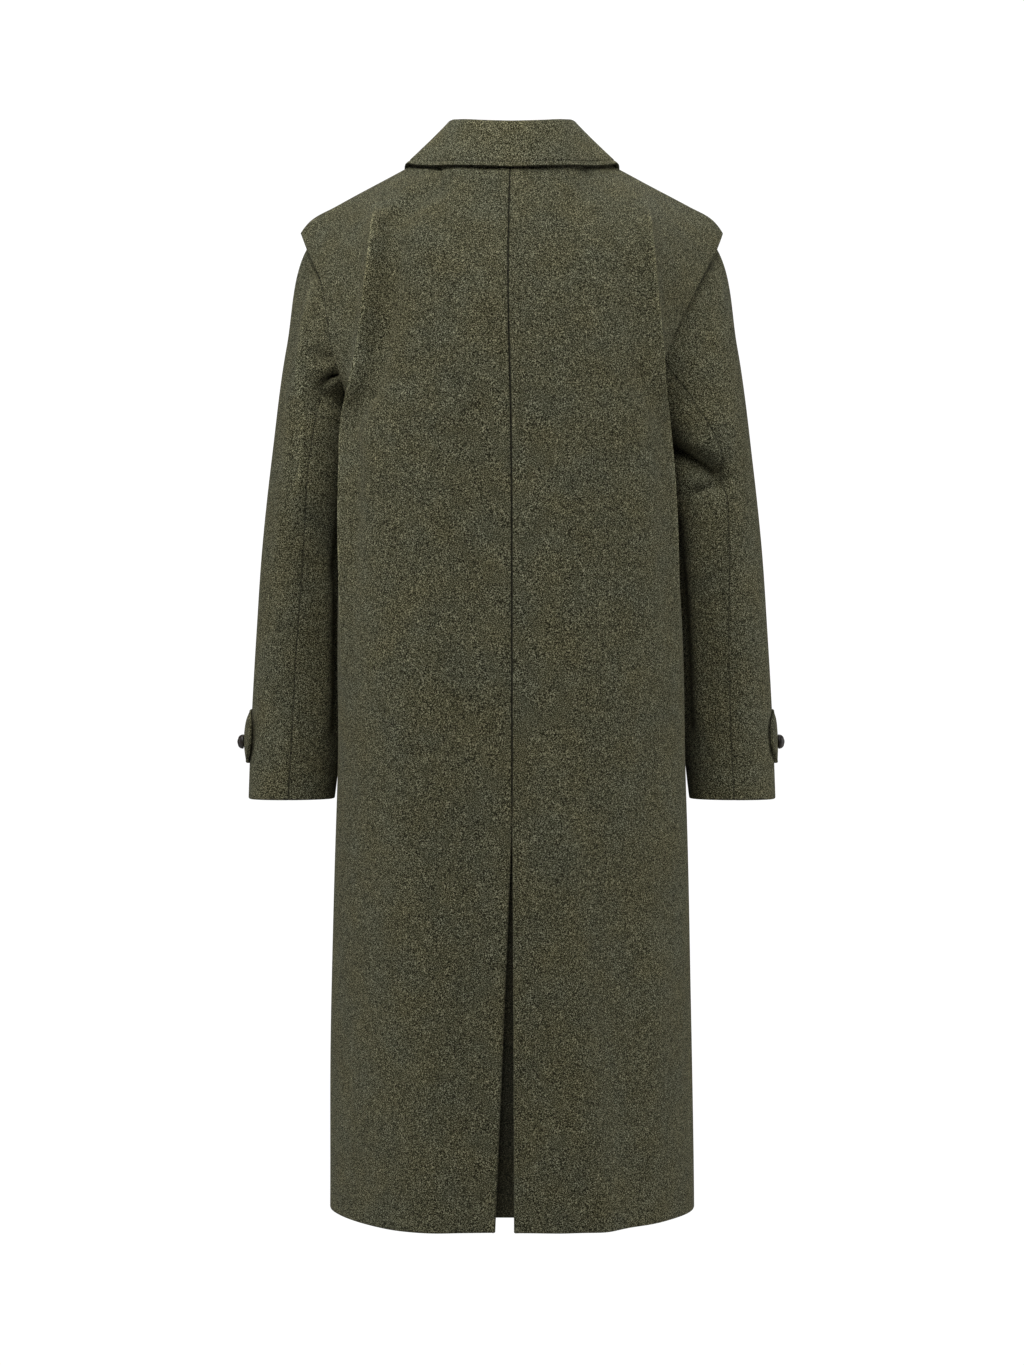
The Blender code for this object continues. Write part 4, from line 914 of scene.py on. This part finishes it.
def sleeve_surface(side, shares, span):
    """Outer points and normals of a sleeve, and the angles of its columns, for each share of its length.

    The span works out the angles of a row from the angles of its two seams.
    """
    angles, rings, seams = sleeve_rings(side)
    knots = ring_knots(rings)
    places = np.asarray(shares) * knots[-1]
    full = smooth(knots, rings, places)
    whole = np.concatenate([full[:, -2:-1], full, full[:, 1:2]], axis=1)
    normal = facing_out(full, normals_of(whole)[:, 1:-1], full[:, :-1].mean(axis=1, keepdims=True))
    z = full[..., 2]
    full = moved(full, normal, sleeve_lines(np.broadcast_to(angles, z.shape), z, SLEEVE_CREASES[side]))
    around = np.array([span(*seam) for seam in smooth(knots, seams, places)])
    points = np.array([between(row % 360.0, angles, ring) for row, ring in zip(around, full)])
    turned = np.array([between(row % 360.0, angles, out) for row, out in zip(around, normal)])
    return points, turned / np.linalg.norm(turned, axis=2, keepdims=True), around


def back_cloth(side, name, finish):
    """One half of the back, from its side seam to the fold of the pleat and on into the pleat."""
    levels = fine_levels(*BACK_ROWS)
    shares = fine_shares(False, *BACK_STEPS)
    points = body_surface(side, False, shares, levels)
    normal = facing_out(points, normals_of(points), BODY_MIDDLE)
    points = ridged(folded(points, normal, BACK_FOLDS), normal, shares, side)
    x, z = points[..., 0], points[..., 2]
    rise = line_rise(x, z, BACK_CREASES) + ripple(x, z) * fade(-z, *BACK_RIPPLE_DOWN)
    rise += CREST_RISE * crest(points, shares, CREST_HALF_WIDTH)
    extra = 2 * PLEAT_STEPS
    # Painted highlight along the ridge's crest; painted shade along the free edge over the sleeve and down
    # the sewn centre seam
    painted_light = np.zeros((len(levels), extra + len(shares)))
    painted_light[:, extra:] = CREST_HIGHLIGHT[side] * crest(points, shares, CREST_HIGHLIGHT_HALF_WIDTH)
    from_edge = np.stack([arc_lengths(row[::-1])[::-1] for row in points])
    painted_light[:, extra:] -= within(-z, *WING_EDGE_SHADE_DEPTHS) * bell(from_edge, SHADE_HALF_WIDTH)
    sewn_to = fade(z[:, 0], PLEAT_OPENS_Z, PLEAT_OPENS_Z + PLEAT_TOP_FADE)[:, None]
    painted_light[:, PLEAT_STEPS : PLEAT_STEPS + CENTRE_SEAM_SHADE_STEPS] -= CENTRE_SEAM_SHADE * sewn_to
    points = part_at_seams(moved(points, normal, rise), shares, levels, False)
    z = points[:, 0, 2]
    opening = PLEAT_OPENING[side] * to_hem(z, PLEAT_OPENS_Z)
    shut = fade(z, SEAM_SHUT_FROM, SEAM_SHUT_TO)
    apart = SEAM_GAP / 2 * (1 - shut) - SEAM_LAP * shut
    start = side * centre_x(z) + apart + opening + PLEAT_FOLD_RADIUS
    near = np.clip(1 - shares / PLEAT_PULL_SHARE, 0.0, 1.0) ** 2
    points[..., 0] += side * start[:, None] * near[None, :]
    roll = PLEAT_ROLL[side] * to_hem(z, PLEAT_ROLLS_Z)
    from_fold = np.abs(points[..., 0] - points[:, :1, 0])
    points[..., 1] -= roll[:, None] * bell(from_fold, PLEAT_ROLL_WIDTH)
    across = np.array([-side, 0.0, 0.0])
    behind = np.array([0.0, 1.0, 0.0])
    middle = points[:, 0] - PLEAT_FOLD_RADIUS * behind
    fold = []
    for angle in np.radians(np.linspace(*PLEAT_FOLD_TURNS, PLEAT_STEPS)):
        fold.append(middle + PLEAT_FOLD_RADIUS * (math.sin(angle) * across + math.cos(angle) * behind))
    sewn = fade(z, PLEAT_TOP_Z, PLEAT_TOP_Z + PLEAT_TOP_FADE)
    length = PLEAT_RETURN + (SEAM_ALLOWANCE - PLEAT_RETURN) * sewn
    drop = (pleat_depth(z) - roll - 2 * PLEAT_FOLD_RADIUS) * (1 - sewn)
    returned = []
    for share in np.linspace(*PLEAT_RETURN_SHARES, PLEAT_STEPS):
        returned.append(fold[0] - share * (length[:, None] * across + drop[:, None] * behind))
    points = np.concatenate([np.stack(returned + fold, axis=1), points], axis=1)
    normal = normals_of(points)
    if np.sum(normal[:, extra:] * (points[:, extra:] - np.array(BODY_MIDDLE))) < 0:
        normal = -normal
    normal[:, extra:] = seam_normals(normal[:, extra:], shares, levels, False)
    thick = hem_wall(points[..., 2], HEM_Z, BODY_HEM_DEPTH)
    thick[:, :extra] = CLOTH
    inner = moved(points, normal, -thick)
    inner[..., 1] = np.maximum(inner[..., 1], SEAM_GAP / 2)
    return shell(name, points, inner, finish, painted_light)


def pleat_cloth(name, finish):
    """The inner layer of the pleat, behind the two folds."""
    levels = np.linspace(HEM_Z + UNDERLAY_HEM_RISE, PLEAT_TOP_Z - UNDERLAY_TOP_DROP, UNDERLAY_ROWS)
    across = np.linspace(-UNDERLAY_HALF, UNDERLAY_HALF, UNDERLAY_STEPS)
    centre = body_surface(1, False, np.array([0.0]), levels)[:, 0]
    depth = pleat_depth(levels) + SEAM_GAP
    outer = np.zeros((len(levels), len(across), 3))
    outer[..., 0] = across[None, :]
    outer[..., 1] = (centre[:, 1] - depth)[:, None] - UNDERLAY_BOW * (across / UNDERLAY_HALF)[None, :] ** 2
    outer[..., 2] = levels[:, None]
    normal = normals_of(outer)
    normal *= np.sign(normal[..., 1:2])
    return shell(name, outer, outer - CLOTH * normal, finish)


def front_grid(side, levels, shares):
    """Outer points and normals of one front, from its free edge past the centre line to the side seam."""
    points = body_surface(side, True, shares, levels)
    normal = facing_out(points, normals_of(points), BODY_MIDDLE)
    points = folded(points, normal, FRONT_FOLDS)
    x, z = points[..., 0], points[..., 2]
    rise = ripple(x, z) * fade(-z, *FRONT_RIPPLE_DOWN) * fade(np.abs(x), *FRONT_RIPPLE_ASIDE)
    if side > 0:
        rise -= UNDERLAP_TUCK * (1 - fade(x, OVERLAP, OVERLAP + UNDERLAP_RAMP))
    else:
        rise -= FRONT_GROOVE * bell(OVERLAP - x - FRONT_STITCH_IN, FRONT_GROOVE_HALF_WIDTH)
        rise += line_rise(x, z, BUTTONHOLES)
    points = part_at_seams(moved(points, normal, rise), shares, levels, True)
    return points, facing_out(points, normals_of(points), BODY_MIDDLE)


def front_cloth(side, name, finish):
    """One front, whose free edge laps past the centre line."""
    levels = fine_levels(*FRONT_ROWS)
    edge = np.linspace(-OVERLAP, -OVERLAP + LAP_EDGE, LAP_STEPS[0])
    lap = np.concatenate([edge, np.linspace(-OVERLAP + LAP_EDGE, 0, LAP_STEPS[1])[1:-1]])
    shares = np.concatenate([lap, fine_shares(True, *FRONT_STEPS)])
    points, normal = front_grid(side, levels, shares)
    normal = seam_normals(normal, shares, levels, True)
    thick = hem_wall(points[..., 2], HEM_Z, BODY_HEM_DEPTH)
    thick[:, : len(lap)] = CLOTH
    inner = moved(points, normal, -thick)
    inner[..., 1] = np.minimum(inner[..., 1], -SEAM_GAP / 2)
    return shell(name, points, inner, finish)


def sleeve_cloth(side, under, name, finish):
    """The upper or the under half of a two-piece sleeve."""
    lap = math.degrees(SEAM_LAP / SLEEVE_MEAN_RADIUS)
    crowded = np.linspace(0, 1, UNDER_STEPS if under else UPPER_STEPS) ** SEAM_CROWDING

    def span(back_seam, front_seam):
        if under:
            return back_seam - lap + (front_seam - back_seam + 2 * lap) * crowded
        return back_seam + lap - (back_seam - front_seam + 360 + 2 * lap) * crowded[::-1]

    points, normal, around = sleeve_surface(side, np.linspace(0, 1, SLEEVE_ROWS), span)
    seam = np.stack([arc_lengths(row if under else row[::-1]) for row in points])
    seam = seam if under else seam[:, ::-1]
    points = moved(points, normal, -SEAM_GROOVE * bell(seam, SEAM_HALF_WIDTH))
    thick = hem_wall(points[..., 2], CUFF_Z, CUFF_HEM_DEPTH)
    # Painted highlight along the sleeve's folds, painted shade down its seams
    painted_light = sleeve_lines(around, points[..., 2], SLEEVE_HIGHLIGHT[side])
    painted_light -= SLEEVE_SEAM_SHADE * bell(seam, SHADE_HALF_WIDTH)
    return shell(name, points, moved(points, normal, -thick), finish, painted_light)


def tab_wall(z):
    """The thickness of a cuff tab, which thins out to its upper edge."""
    return TAB_CLOTH * (1 - TAB_TOP_THINS * bell(TAB_Z + TAB_HALF_WIDTH - z, TAB_THINS_OVER))


def tab_grid(side):
    """Outer points and normals of a cuff tab, made from the sleeve's own points and moved out."""
    _, rings, _ = sleeve_rings(side)
    knots = ring_knots(rings)
    heights = rings[:, :-1, 2].mean(axis=1)
    end = TAB_END_ANGLE - TAB_ROUND_ANGLE
    straight = np.linspace(TAB_START_ANGLE, TAB_ROUND_ANGLE, TAB_STEPS[0])
    bend = np.sin(np.radians(np.linspace(*TAB_ROUND_TURNS, TAB_STEPS[1])))
    turns = np.concatenate([straight, TAB_ROUND_ANGLE + end * bend])
    points, out = [], []
    for turn in turns:
        past = max(0.0, (turn - TAB_ROUND_ANGLE) / end)
        half = TAB_HALF_WIDTH * math.sqrt(1 - past**2)
        z = TAB_Z + half * np.sin(np.linspace(-1, 1, TAB_ROWS) * math.pi / 2)
        shares = np.interp(z, heights, knots) / knots[-1]
        surface, normal, _ = sleeve_surface(side, shares, lambda back_seam, front_seam: np.array([turn]))
        bow = 1 - ((z - TAB_Z) / TAB_HALF_WIDTH) ** 2
        lifted = TAB_LIFT[side] * fade(turn, *TAB_LIFT_ANGLES) * bow
        points.append(moved(surface[:, 0], normal[:, 0], TAB_REST + tab_wall(z) + lifted))
        out.append(normal[:, 0])
    return np.array(points), np.array(out), turns


def tab_cloth(side, name, finish):
    """The strap round the outside of a cuff, with a rounded end that points to the back."""
    points, normal, _ = tab_grid(side)
    return shell(name, points, moved(points, normal, -tab_wall(points[..., 2])), finish)


def tab_stitch_line(side):
    """The line of stitches round a cuff tab, a little in from its edge, and its normals."""
    points, normal, _ = tab_grid(side)
    low, high = TAB_STITCH_IN, points.shape[1] - 1 - TAB_STITCH_IN
    end = len(points) - TAB_STITCH_END
    places = [(i, low) for i in range(TAB_STITCH_IN, end)]
    places += [(end, j) for j in range(low, high + 1)]
    places += [(i, high) for i in range(end - 1, TAB_STITCH_IN - 1, -1)]
    i, j = np.array(places).T
    return points[i, j], normal[i, j]


def collar_profile(side_angle):
    """Neck, fold and edge points of the collar at an angle, negative on the wearer's right."""
    size = table(COLLAR_COLUMNS, COLLAR_LEFT)
    angle = abs(side_angle)
    mirror = np.array([-1.0 if side_angle < 0 else 1.0, 1.0, 1.0])
    row = {name: float(smooth(size["angle"], values, [angle])[0]) for name, values in size.items()}
    return neck_point(angle) * mirror, point(row, "fold") * mirror, point(row, "edge") * mirror


def collar_lines():
    """For each angle: neck, fold and edge points, and the level direction that leads out from the neck."""
    past_side = np.linspace(90.0, COLLAR_END_ANGLE, COLLAR_STEPS)[1:]
    half = np.concatenate([np.linspace(0.0, 90.0, COLLAR_STEPS), past_side])
    lines = []
    for angle in np.concatenate([-half[:0:-1], half]):
        neck, fold, edge = collar_profile(angle)
        out = (edge - fold) * np.array([1.0, 1.0, 0.0])
        lines.append((neck, fold, edge, out / np.linalg.norm(out)))
    return lines


def collar_lap(neck, fold):
    """How far the fall reaches down inside the neck, less where the stand is low."""
    return min(COLLAR_LAP, COLLAR_LAP_OF_STAND * (fold[2] - neck[2]))


def collar_grid():
    """Outer points and normals of the collar's fall, and each point's distance from the free edge."""
    up = np.array([0.0, 0.0, 1.0])
    upper = np.linspace(0, COLLAR_FALL_BEND, COLLAR_FALL_STEPS[0])[1:]
    fall = np.concatenate([upper, np.linspace(COLLAR_FALL_BEND, 1, COLLAR_FALL_STEPS[1])[1:]])
    rows = []
    for neck, fold, edge, out in collar_lines():
        middle = fold - COLLAR_FOLD_RADIUS * up
        lean = math.atan2((edge - fold) @ out, fold[2] - edge[2])
        line = []
        for share in COLLAR_LAP_SHARES:
            line.append(middle - COLLAR_FOLD_RADIUS * out - share * collar_lap(neck, fold) * up)
        for turn in np.linspace(math.pi, lean, COLLAR_FOLD_STEPS):
            line.append(middle + COLLAR_FOLD_RADIUS * (math.cos(turn) * out + math.sin(turn) * up))
        start = line[-1]
        line += [start + (edge - start) * share for share in fall]
        rows.append(line)
    points = np.array(rows)
    normal = normals_of(points)
    if np.sum(normal[:, -1, 2]) < 0:
        normal = -normal
    from_edge = np.linalg.norm(points - points[:, -1:], axis=2)
    return points, normal, from_edge


def collar_cloth(name, finish):
    """The turned-down part of the collar, from just inside its fold to its free edge."""
    points, normal, from_edge = collar_grid()
    groove = COLLAR_GROOVE * bell(from_edge - COLLAR_STITCH_IN, COLLAR_GROOVE_HALF_WIDTH)
    points = moved(points, normal, -groove)
    # Painted shade along the free edge, where the collar's shadow falls on the back
    shaded = np.zeros(points.shape[:2])
    shaded[:, -1] = -COLLAR_EDGE_SHADE
    return shell(name, points, points - COLLAR_CLOTH * normal, finish, shaded)


def collar_stitch_line():
    """The line of stitches along the collar's free edge, in its groove, and its normals."""
    points, normal, from_edge = collar_grid()
    column = int(np.argmin(np.abs(from_edge[len(points) // 2] - COLLAR_STITCH_IN)))
    inner = slice(COLLAR_STITCH_ENDS, -COLLAR_STITCH_ENDS)
    return points[inner, column] - normal[inner, column] * COLLAR_GROOVE, normal[inner, column]


def stand_cloth(name, finish):
    """The upright part of the collar, from the neckline to the fall's inner edge."""
    up = np.array([0.0, 0.0, 1.0])
    inner, outer = [], []
    for neck, fold, edge, out in collar_lines():
        lap = COLLAR_FOLD_RADIUS + collar_lap(neck, fold) + 2 * SEAM_GAP
        top = fold - COLLAR_FOLD_RADIUS * out - lap * up
        foot = neck - STAND_INSET * out + STAND_RISE * up
        line = np.array([foot + (top - foot) * share for share in np.linspace(0, 1, STAND_ROWS)])
        inner.append(line)
        outer.append(line + CLOTH * out)
    return shell(name, np.array(outer), np.array(inner), finish)


def ring_quads(first, rows, columns):
    """The faces between closed rings of points that are numbered ring after ring."""
    index = first + np.arange(rows * columns).reshape(rows, columns)
    right = np.roll(index, -1, axis=1)
    return np.stack([index[:-1], right[:-1], right[1:], index[1:]], axis=-1).reshape(-1, 4).tolist()


def stitches(name, line, normal, finish):
    """A row of short stitches along a line of points, sunk a little into the cloth."""
    lengths = arc_lengths(line)
    shares = np.array([share for share, _, _ in STITCH_RINGS])
    rounds = np.radians(np.arange(STITCH_SIDES) * 360.0 / STITCH_SIDES)
    points, faces = [], []
    for k in range(int(lengths[-1] / STITCH_STEP)):
        ends = between((k + shares) * STITCH_STEP, lengths, line)
        row = int(np.argmin(np.abs(lengths - (k + 0.5) * STITCH_STEP)))
        up = normal[row] / np.linalg.norm(normal[row])
        along = ends[-1] - ends[0]
        aside = np.cross(along / np.linalg.norm(along), up)
        base = len(points)
        for place, (_, size, lift) in zip(ends, STITCH_RINGS):
            for turn in rounds:
                ring = math.cos(turn) * aside + math.sin(turn) * up
                points.append(place + STITCH_RADIUS * (size * ring + lift * up))
        faces += ring_quads(base, len(STITCH_RINGS), STITCH_SIDES)
        for first in (base, len(points) - STITCH_SIDES):
            faces.append((first, first + 1, first + 2, first + 3))
            faces.append((first, first + 3, first + 4, first + 5))
    made = link_mesh(name, points, faces, finish)
    shape = bmesh.new()
    shape.from_mesh(made.data)
    bmesh.ops.recalc_face_normals(shape, faces=shape.faces[:])
    shape.to_mesh(made.data)
    shape.free()
    return made


def knot_height(x, y):
    """The relief of plaited leather straps seen from above, with x and y in strap widths."""

    def strap(across, along, shift):
        arch = np.sqrt(np.clip(1 - (2 * (across - np.round(across))) ** 2, 0.0, 1.0))
        return arch * (STRAP_MEAN + STRAP_SWING * np.cos(math.pi * (along + np.round(across) + shift)))

    return np.maximum(strap(x, y, 0.0), strap(y, x, 1.0))


def knot_button(name, place, normal, radius, height, finish):
    """A domed button of plaited leather on a short shank, turned about the normal of the cloth under it."""
    around = np.radians(np.arange(KNOT_SIDES) * 360.0 / KNOT_SIDES)
    profile = list(KNOT_FOOT)
    for turn in np.radians(np.linspace(*KNOT_DOME_TURNS)):
        profile.append((math.cos(turn), KNOT_RIM + (1 - KNOT_RIM) * math.sin(turn)))
    rings = []
    for share, rise in profile:
        x, y = share * np.cos(around), share * np.sin(around)
        relief = KNOT_RELIEF * (knot_height(x * KNOT_STRAPS, y * KNOT_STRAPS) - KNOT_RELIEF_MEAN)
        relief = relief * fade(rise, *KNOT_RELIEF_RISES)
        grown = radius * (1 + relief * share * KNOT_RELIEF_SPREAD)
        rings.append(np.stack([x * grown, y * grown, height * rise + radius * relief], axis=1))
    axis = Vector(normal).normalized()
    turn = np.array(axis.to_track_quat("Z", "Y").to_matrix())
    placed = np.array(rings) @ turn.T + np.array(place) + np.array(axis) * BUTTON_REST
    points = placed.reshape(-1, 3).tolist()
    faces = ring_quads(0, len(rings), KNOT_SIDES)
    for row, turned in ((0, True), (len(rings) - 1, False)):
        points.append(placed[row].mean(axis=0).tolist())
        for m in range(KNOT_SIDES):
            a, b = row * KNOT_SIDES + m, row * KNOT_SIDES + (m + 1) % KNOT_SIDES
            faces.append((b, a, len(points) - 1) if turned else (a, b, len(points) - 1))
    return link_mesh(name, points, faces, finish)


def cuff_knot(side, name, finish):
    """The button on the rounded end of a cuff tab."""
    points, normal, turns = tab_grid(side)
    column = int(np.argmin(np.abs(turns - CUFF_BUTTON_ANGLE)))
    z = TAB_Z + CUFF_BUTTON_ACROSS * TAB_HALF_WIDTH
    place = between(z, points[column, :, 2], points[column])
    out = between(z, points[column, :, 2], normal[column])
    place = place - CUFF_BUTTON_SEAT * out
    return knot_button(name, place, out, CUFF_BUTTON_RADIUS, CUFF_BUTTON_HEIGHT, finish)


def front_knots(finish):
    """The buttons down the centre of the closed front."""
    levels = np.linspace(HEM_Z, TOP_LEVEL, FRONT_LINE_ROWS)
    points = body_surface(-1, True, np.array(FRONT_LINE_SHARES), levels)
    out = facing_out(points, normals_of(points), BODY_MIDDLE)[:, 1]
    line = points[:, 1]
    made = []
    for count in range(FRONT_BUTTON_COUNT):
        row = int(np.argmin(np.abs(line[:, 2] - FRONT_BUTTON_TOP_Z + count * FRONT_BUTTON_STEP)))
        name = f"front_button_{count + 1}_knot"
        made.append(knot_button(name, line[row], out[row], FRONT_BUTTON_RADIUS, FRONT_BUTTON_HEIGHT, finish))
    return made


def add_node(tree, kind, **settings):
    """A shader node with its named inputs set."""
    made = tree.nodes.new(kind)
    for name, value in settings.items():
        made.inputs[name.replace("_", " ")].default_value = value
    return made


def ramp(tree, source, stops):
    """A colour ramp on a value, with stops of place and colour."""
    made = tree.nodes.new("ShaderNodeValToRGB")
    elements = made.color_ramp.elements
    while len(elements) < len(stops):
        elements.new(0.5)
    for element, (place, colour) in zip(elements, stops):
        element.position = place
        element.color = (*colour, 1.0)
    tree.links.new(source, made.inputs["Fac"])
    return made.outputs["Color"]


def multiply(tree, first, second):
    """The product of two colours."""
    made = tree.nodes.new("ShaderNodeMix")
    made.data_type = "RGBA"
    made.blend_type = "MULTIPLY"
    made.inputs[0].default_value = 1.0
    tree.links.new(first, made.inputs[6])
    tree.links.new(second, made.inputs[7])
    return made.outputs[2]


def new_material(name):
    """A material, its node tree and shader, and a function that adds noise in the object's own frame."""
    made = bpy.data.materials.new(name)
    made.use_nodes = True
    tree = made.node_tree

    def noise(scale, detail, roughness):
        place = tree.nodes.new("ShaderNodeTexCoord").outputs["Object"]
        found = add_node(tree, "ShaderNodeTexNoise", Scale=scale, Detail=detail, Roughness=roughness)
        tree.links.new(place, found.inputs["Vector"])
        return found.outputs["Fac"]

    return made, tree, tree.nodes["Principled BSDF"], noise


def add_bump(tree, shader, height, strength, distance):
    """Makes a shader's surface uneven by a value."""
    bump = add_node(tree, "ShaderNodeBump", Strength=strength, Distance=distance)
    tree.links.new(height, bump.inputs["Height"])
    tree.links.new(bump.outputs["Normal"], shader.inputs["Normal"])


def wool(name, dark, middle, light):
    """Fulled wool in mixed yarns: dark and light flecks, patches of greener and browner yarn, a nap, and a
    painted highlight and painted shade taken from a mesh attribute.
    """
    made, tree, shader, noise = new_material(name)
    flecks = noise(*FLECKS)
    # The pieces' painted highlight and painted shade, read from their mesh attribute
    painted_light = tree.nodes.new("ShaderNodeAttribute")
    painted_light.attribute_name = "painted_light"
    level = tree.nodes.new("ShaderNodeMapRange")
    level.inputs["From Min"].default_value = -1.0
    tree.links.new(painted_light.outputs["Fac"], level.inputs["Value"])
    painted = ((0.0, SHADE_GAIN), (0.5, (1.0,) * 3), (1.0, HIGHLIGHT_GAIN))
    gains = [(noise(*YARN), YARN_GAINS), (noise(*TINT), TINT_GAINS), (noise(*PATCHES), PATCH_GAINS)]
    colour = ramp(tree, flecks, list(zip(FLECK_STOPS, (dark, middle, middle, light))))
    for value, stops in (*gains, (level.outputs["Result"], painted)):
        colour = multiply(tree, colour, ramp(tree, value, stops))
    tree.links.new(colour, shader.inputs["Base Color"])
    add_bump(tree, shader, flecks, NAP_STRENGTH, NAP_HEIGHT)
    for setting, value in WOOL_FINISH.items():
        shader.inputs[setting].default_value = value
    return made


def leather(name):
    """Dark polished leather with a fine grain and lighter worn patches."""
    made, tree, shader, noise = new_material(name)
    grain = noise(*LEATHER_GRAIN)
    tree.links.new(ramp(tree, noise(*LEATHER_WEAR), LEATHER_COLOURS), shader.inputs["Base Color"])
    tree.links.new(ramp(tree, grain, LEATHER_ROUGHNESS), shader.inputs["Roughness"])
    add_bump(tree, shader, grain, LEATHER_BUMP, LEATHER_BUMP_HEIGHT)
    return made


def thread(name):
    """Sewing thread, a little darker than the cloth, with a twist."""
    made, tree, shader, noise = new_material(name)
    tree.links.new(ramp(tree, noise(*THREAD_TWIST), THREAD_COLOURS), shader.inputs["Base Color"])
    shader.inputs["Roughness"].default_value = THREAD_ROUGHNESS
    return made


def dress(piece, node=None):
    """Fixes a piece to the coat's one body and hides the solid it replaces."""
    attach(piece, "root")
    if node:
        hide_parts(node)


def make_coat():
    """Every piece of the coat, dressed over its solid."""
    loden = wool("loden", *LODEN_YARNS)
    # A lighter copy of the loden for the collar fall
    lighter_collar_wool = wool("loden_collar", *COLLAR_YARNS)
    # The darker inside wool is painted shade for the pleat underlay and the collar stand
    inside = wool("loden_inside", *SHADED_INSIDE_YARNS)
    knots = leather("button_leather")
    sewing = thread("sewing_thread")
    for side, word in ((1, "left"), (-1, "right")):
        back, front, tab = f"back_{word}", f"front_{word}", f"cuff_tab_{word}"
        dress(back_cloth(side, f"{back}_cloth", loden), back)
        dress(front_cloth(side, f"{front}_cloth", loden), front)
        for half, under in (("upper", False), ("under", True)):
            node = f"sleeve_{word}_{half}"
            cloth = sleeve_cloth(side, under, f"{node}_cloth", loden)
            dress(cloth, node)
        strap = tab_cloth(side, f"{tab}_cloth", loden)
        dress(strap, tab)
        dress(cuff_knot(side, f"cuff_button_{word}_knot", knots), f"cuff_button_{word}")
        dress(stitches(f"{tab}_stitching", *tab_stitch_line(side), sewing))
    underlay = pleat_cloth("pleat_underlay_cloth", inside)
    dress(underlay, "pleat_underlay")
    fall = collar_cloth("collar_fall_cloth", lighter_collar_wool)
    dress(fall, "collar_fall")
    stand = stand_cloth("collar_stand_cloth", inside)
    dress(stand, "collar_stand")
    dress(stitches("collar_stitching", *collar_stitch_line(), sewing))
    for count, knot in enumerate(front_knots(knots)):
        dress(knot, f"front_button_{count + 1}")


def make_stage():
    """A plain pale floor under the coat, soft lights above, behind, beside and before it, and the camera."""
    turns = np.arange(FLOOR_SIDES) * 2 * math.pi / FLOOR_SIDES
    rim = [(FLOOR_RADIUS * math.cos(turn), FLOOR_RADIUS * math.sin(turn), FLOOR_Z) for turn in turns]
    paper, _, shader, _ = new_material("floor_paper")
    shader.inputs["Base Color"].default_value = FLOOR_COLOUR
    shader.inputs["Roughness"].default_value = FLOOR_ROUGHNESS
    link_mesh("floor", rim, [list(range(FLOOR_SIDES))], paper)
    for values in LIGHTS:
        light = dict(zip(LIGHT_COLUMNS, values))
        lamp = bpy.data.lights.new(light["name"], "AREA")
        lamp.shape = "DISK"
        lamp.energy = light["watts"]
        lamp.size = light["size"]
        made = bpy.data.objects.new(light["name"], lamp)
        made.location = (light["x"], light["y"], light["z"])
        made.rotation_mode = "QUATERNION"
        made.rotation_quaternion = (made.location - Vector(LIGHTS_AIM)).to_track_quat("Z", "Y")
        bpy.context.scene.collection.objects.link(made)
    world = bpy.data.worlds.new("studio")
    bpy.context.scene.world = world
    world.use_nodes = True
    tree = world.node_tree
    back = tree.nodes["Background"]
    back.inputs["Color"].default_value = (1.0, 1.0, 1.0, 1.0)
    path = tree.nodes.new("ShaderNodeLightPath")
    level = tree.nodes.new("ShaderNodeMapRange")
    level.inputs["To Min"].default_value = AMBIENT
    level.inputs["To Max"].default_value = BACKDROP
    tree.links.new(path.outputs["Is Camera Ray"], level.inputs["Value"])
    tree.links.new(level.outputs["Result"], back.inputs["Strength"])
    lens = bpy.data.cameras.new("camera")
    lens.sensor_fit = "VERTICAL"
    lens.sensor_height = SENSOR
    lens.sensor_width = SENSOR
    lens.lens = SENSOR * CAMERA_AWAY / VIEW_HEIGHT
    camera = bpy.data.objects.new("camera", lens)
    camera.location = (0.0, CAMERA_AWAY, CAMERA_Z)
    camera.rotation_euler = (math.pi / 2, 0.0, math.pi)
    bpy.context.scene.collection.objects.link(camera)
    bpy.context.scene.camera = camera
    bpy.context.scene.view_settings.view_transform = "Standard"


make_coat()
make_stage()
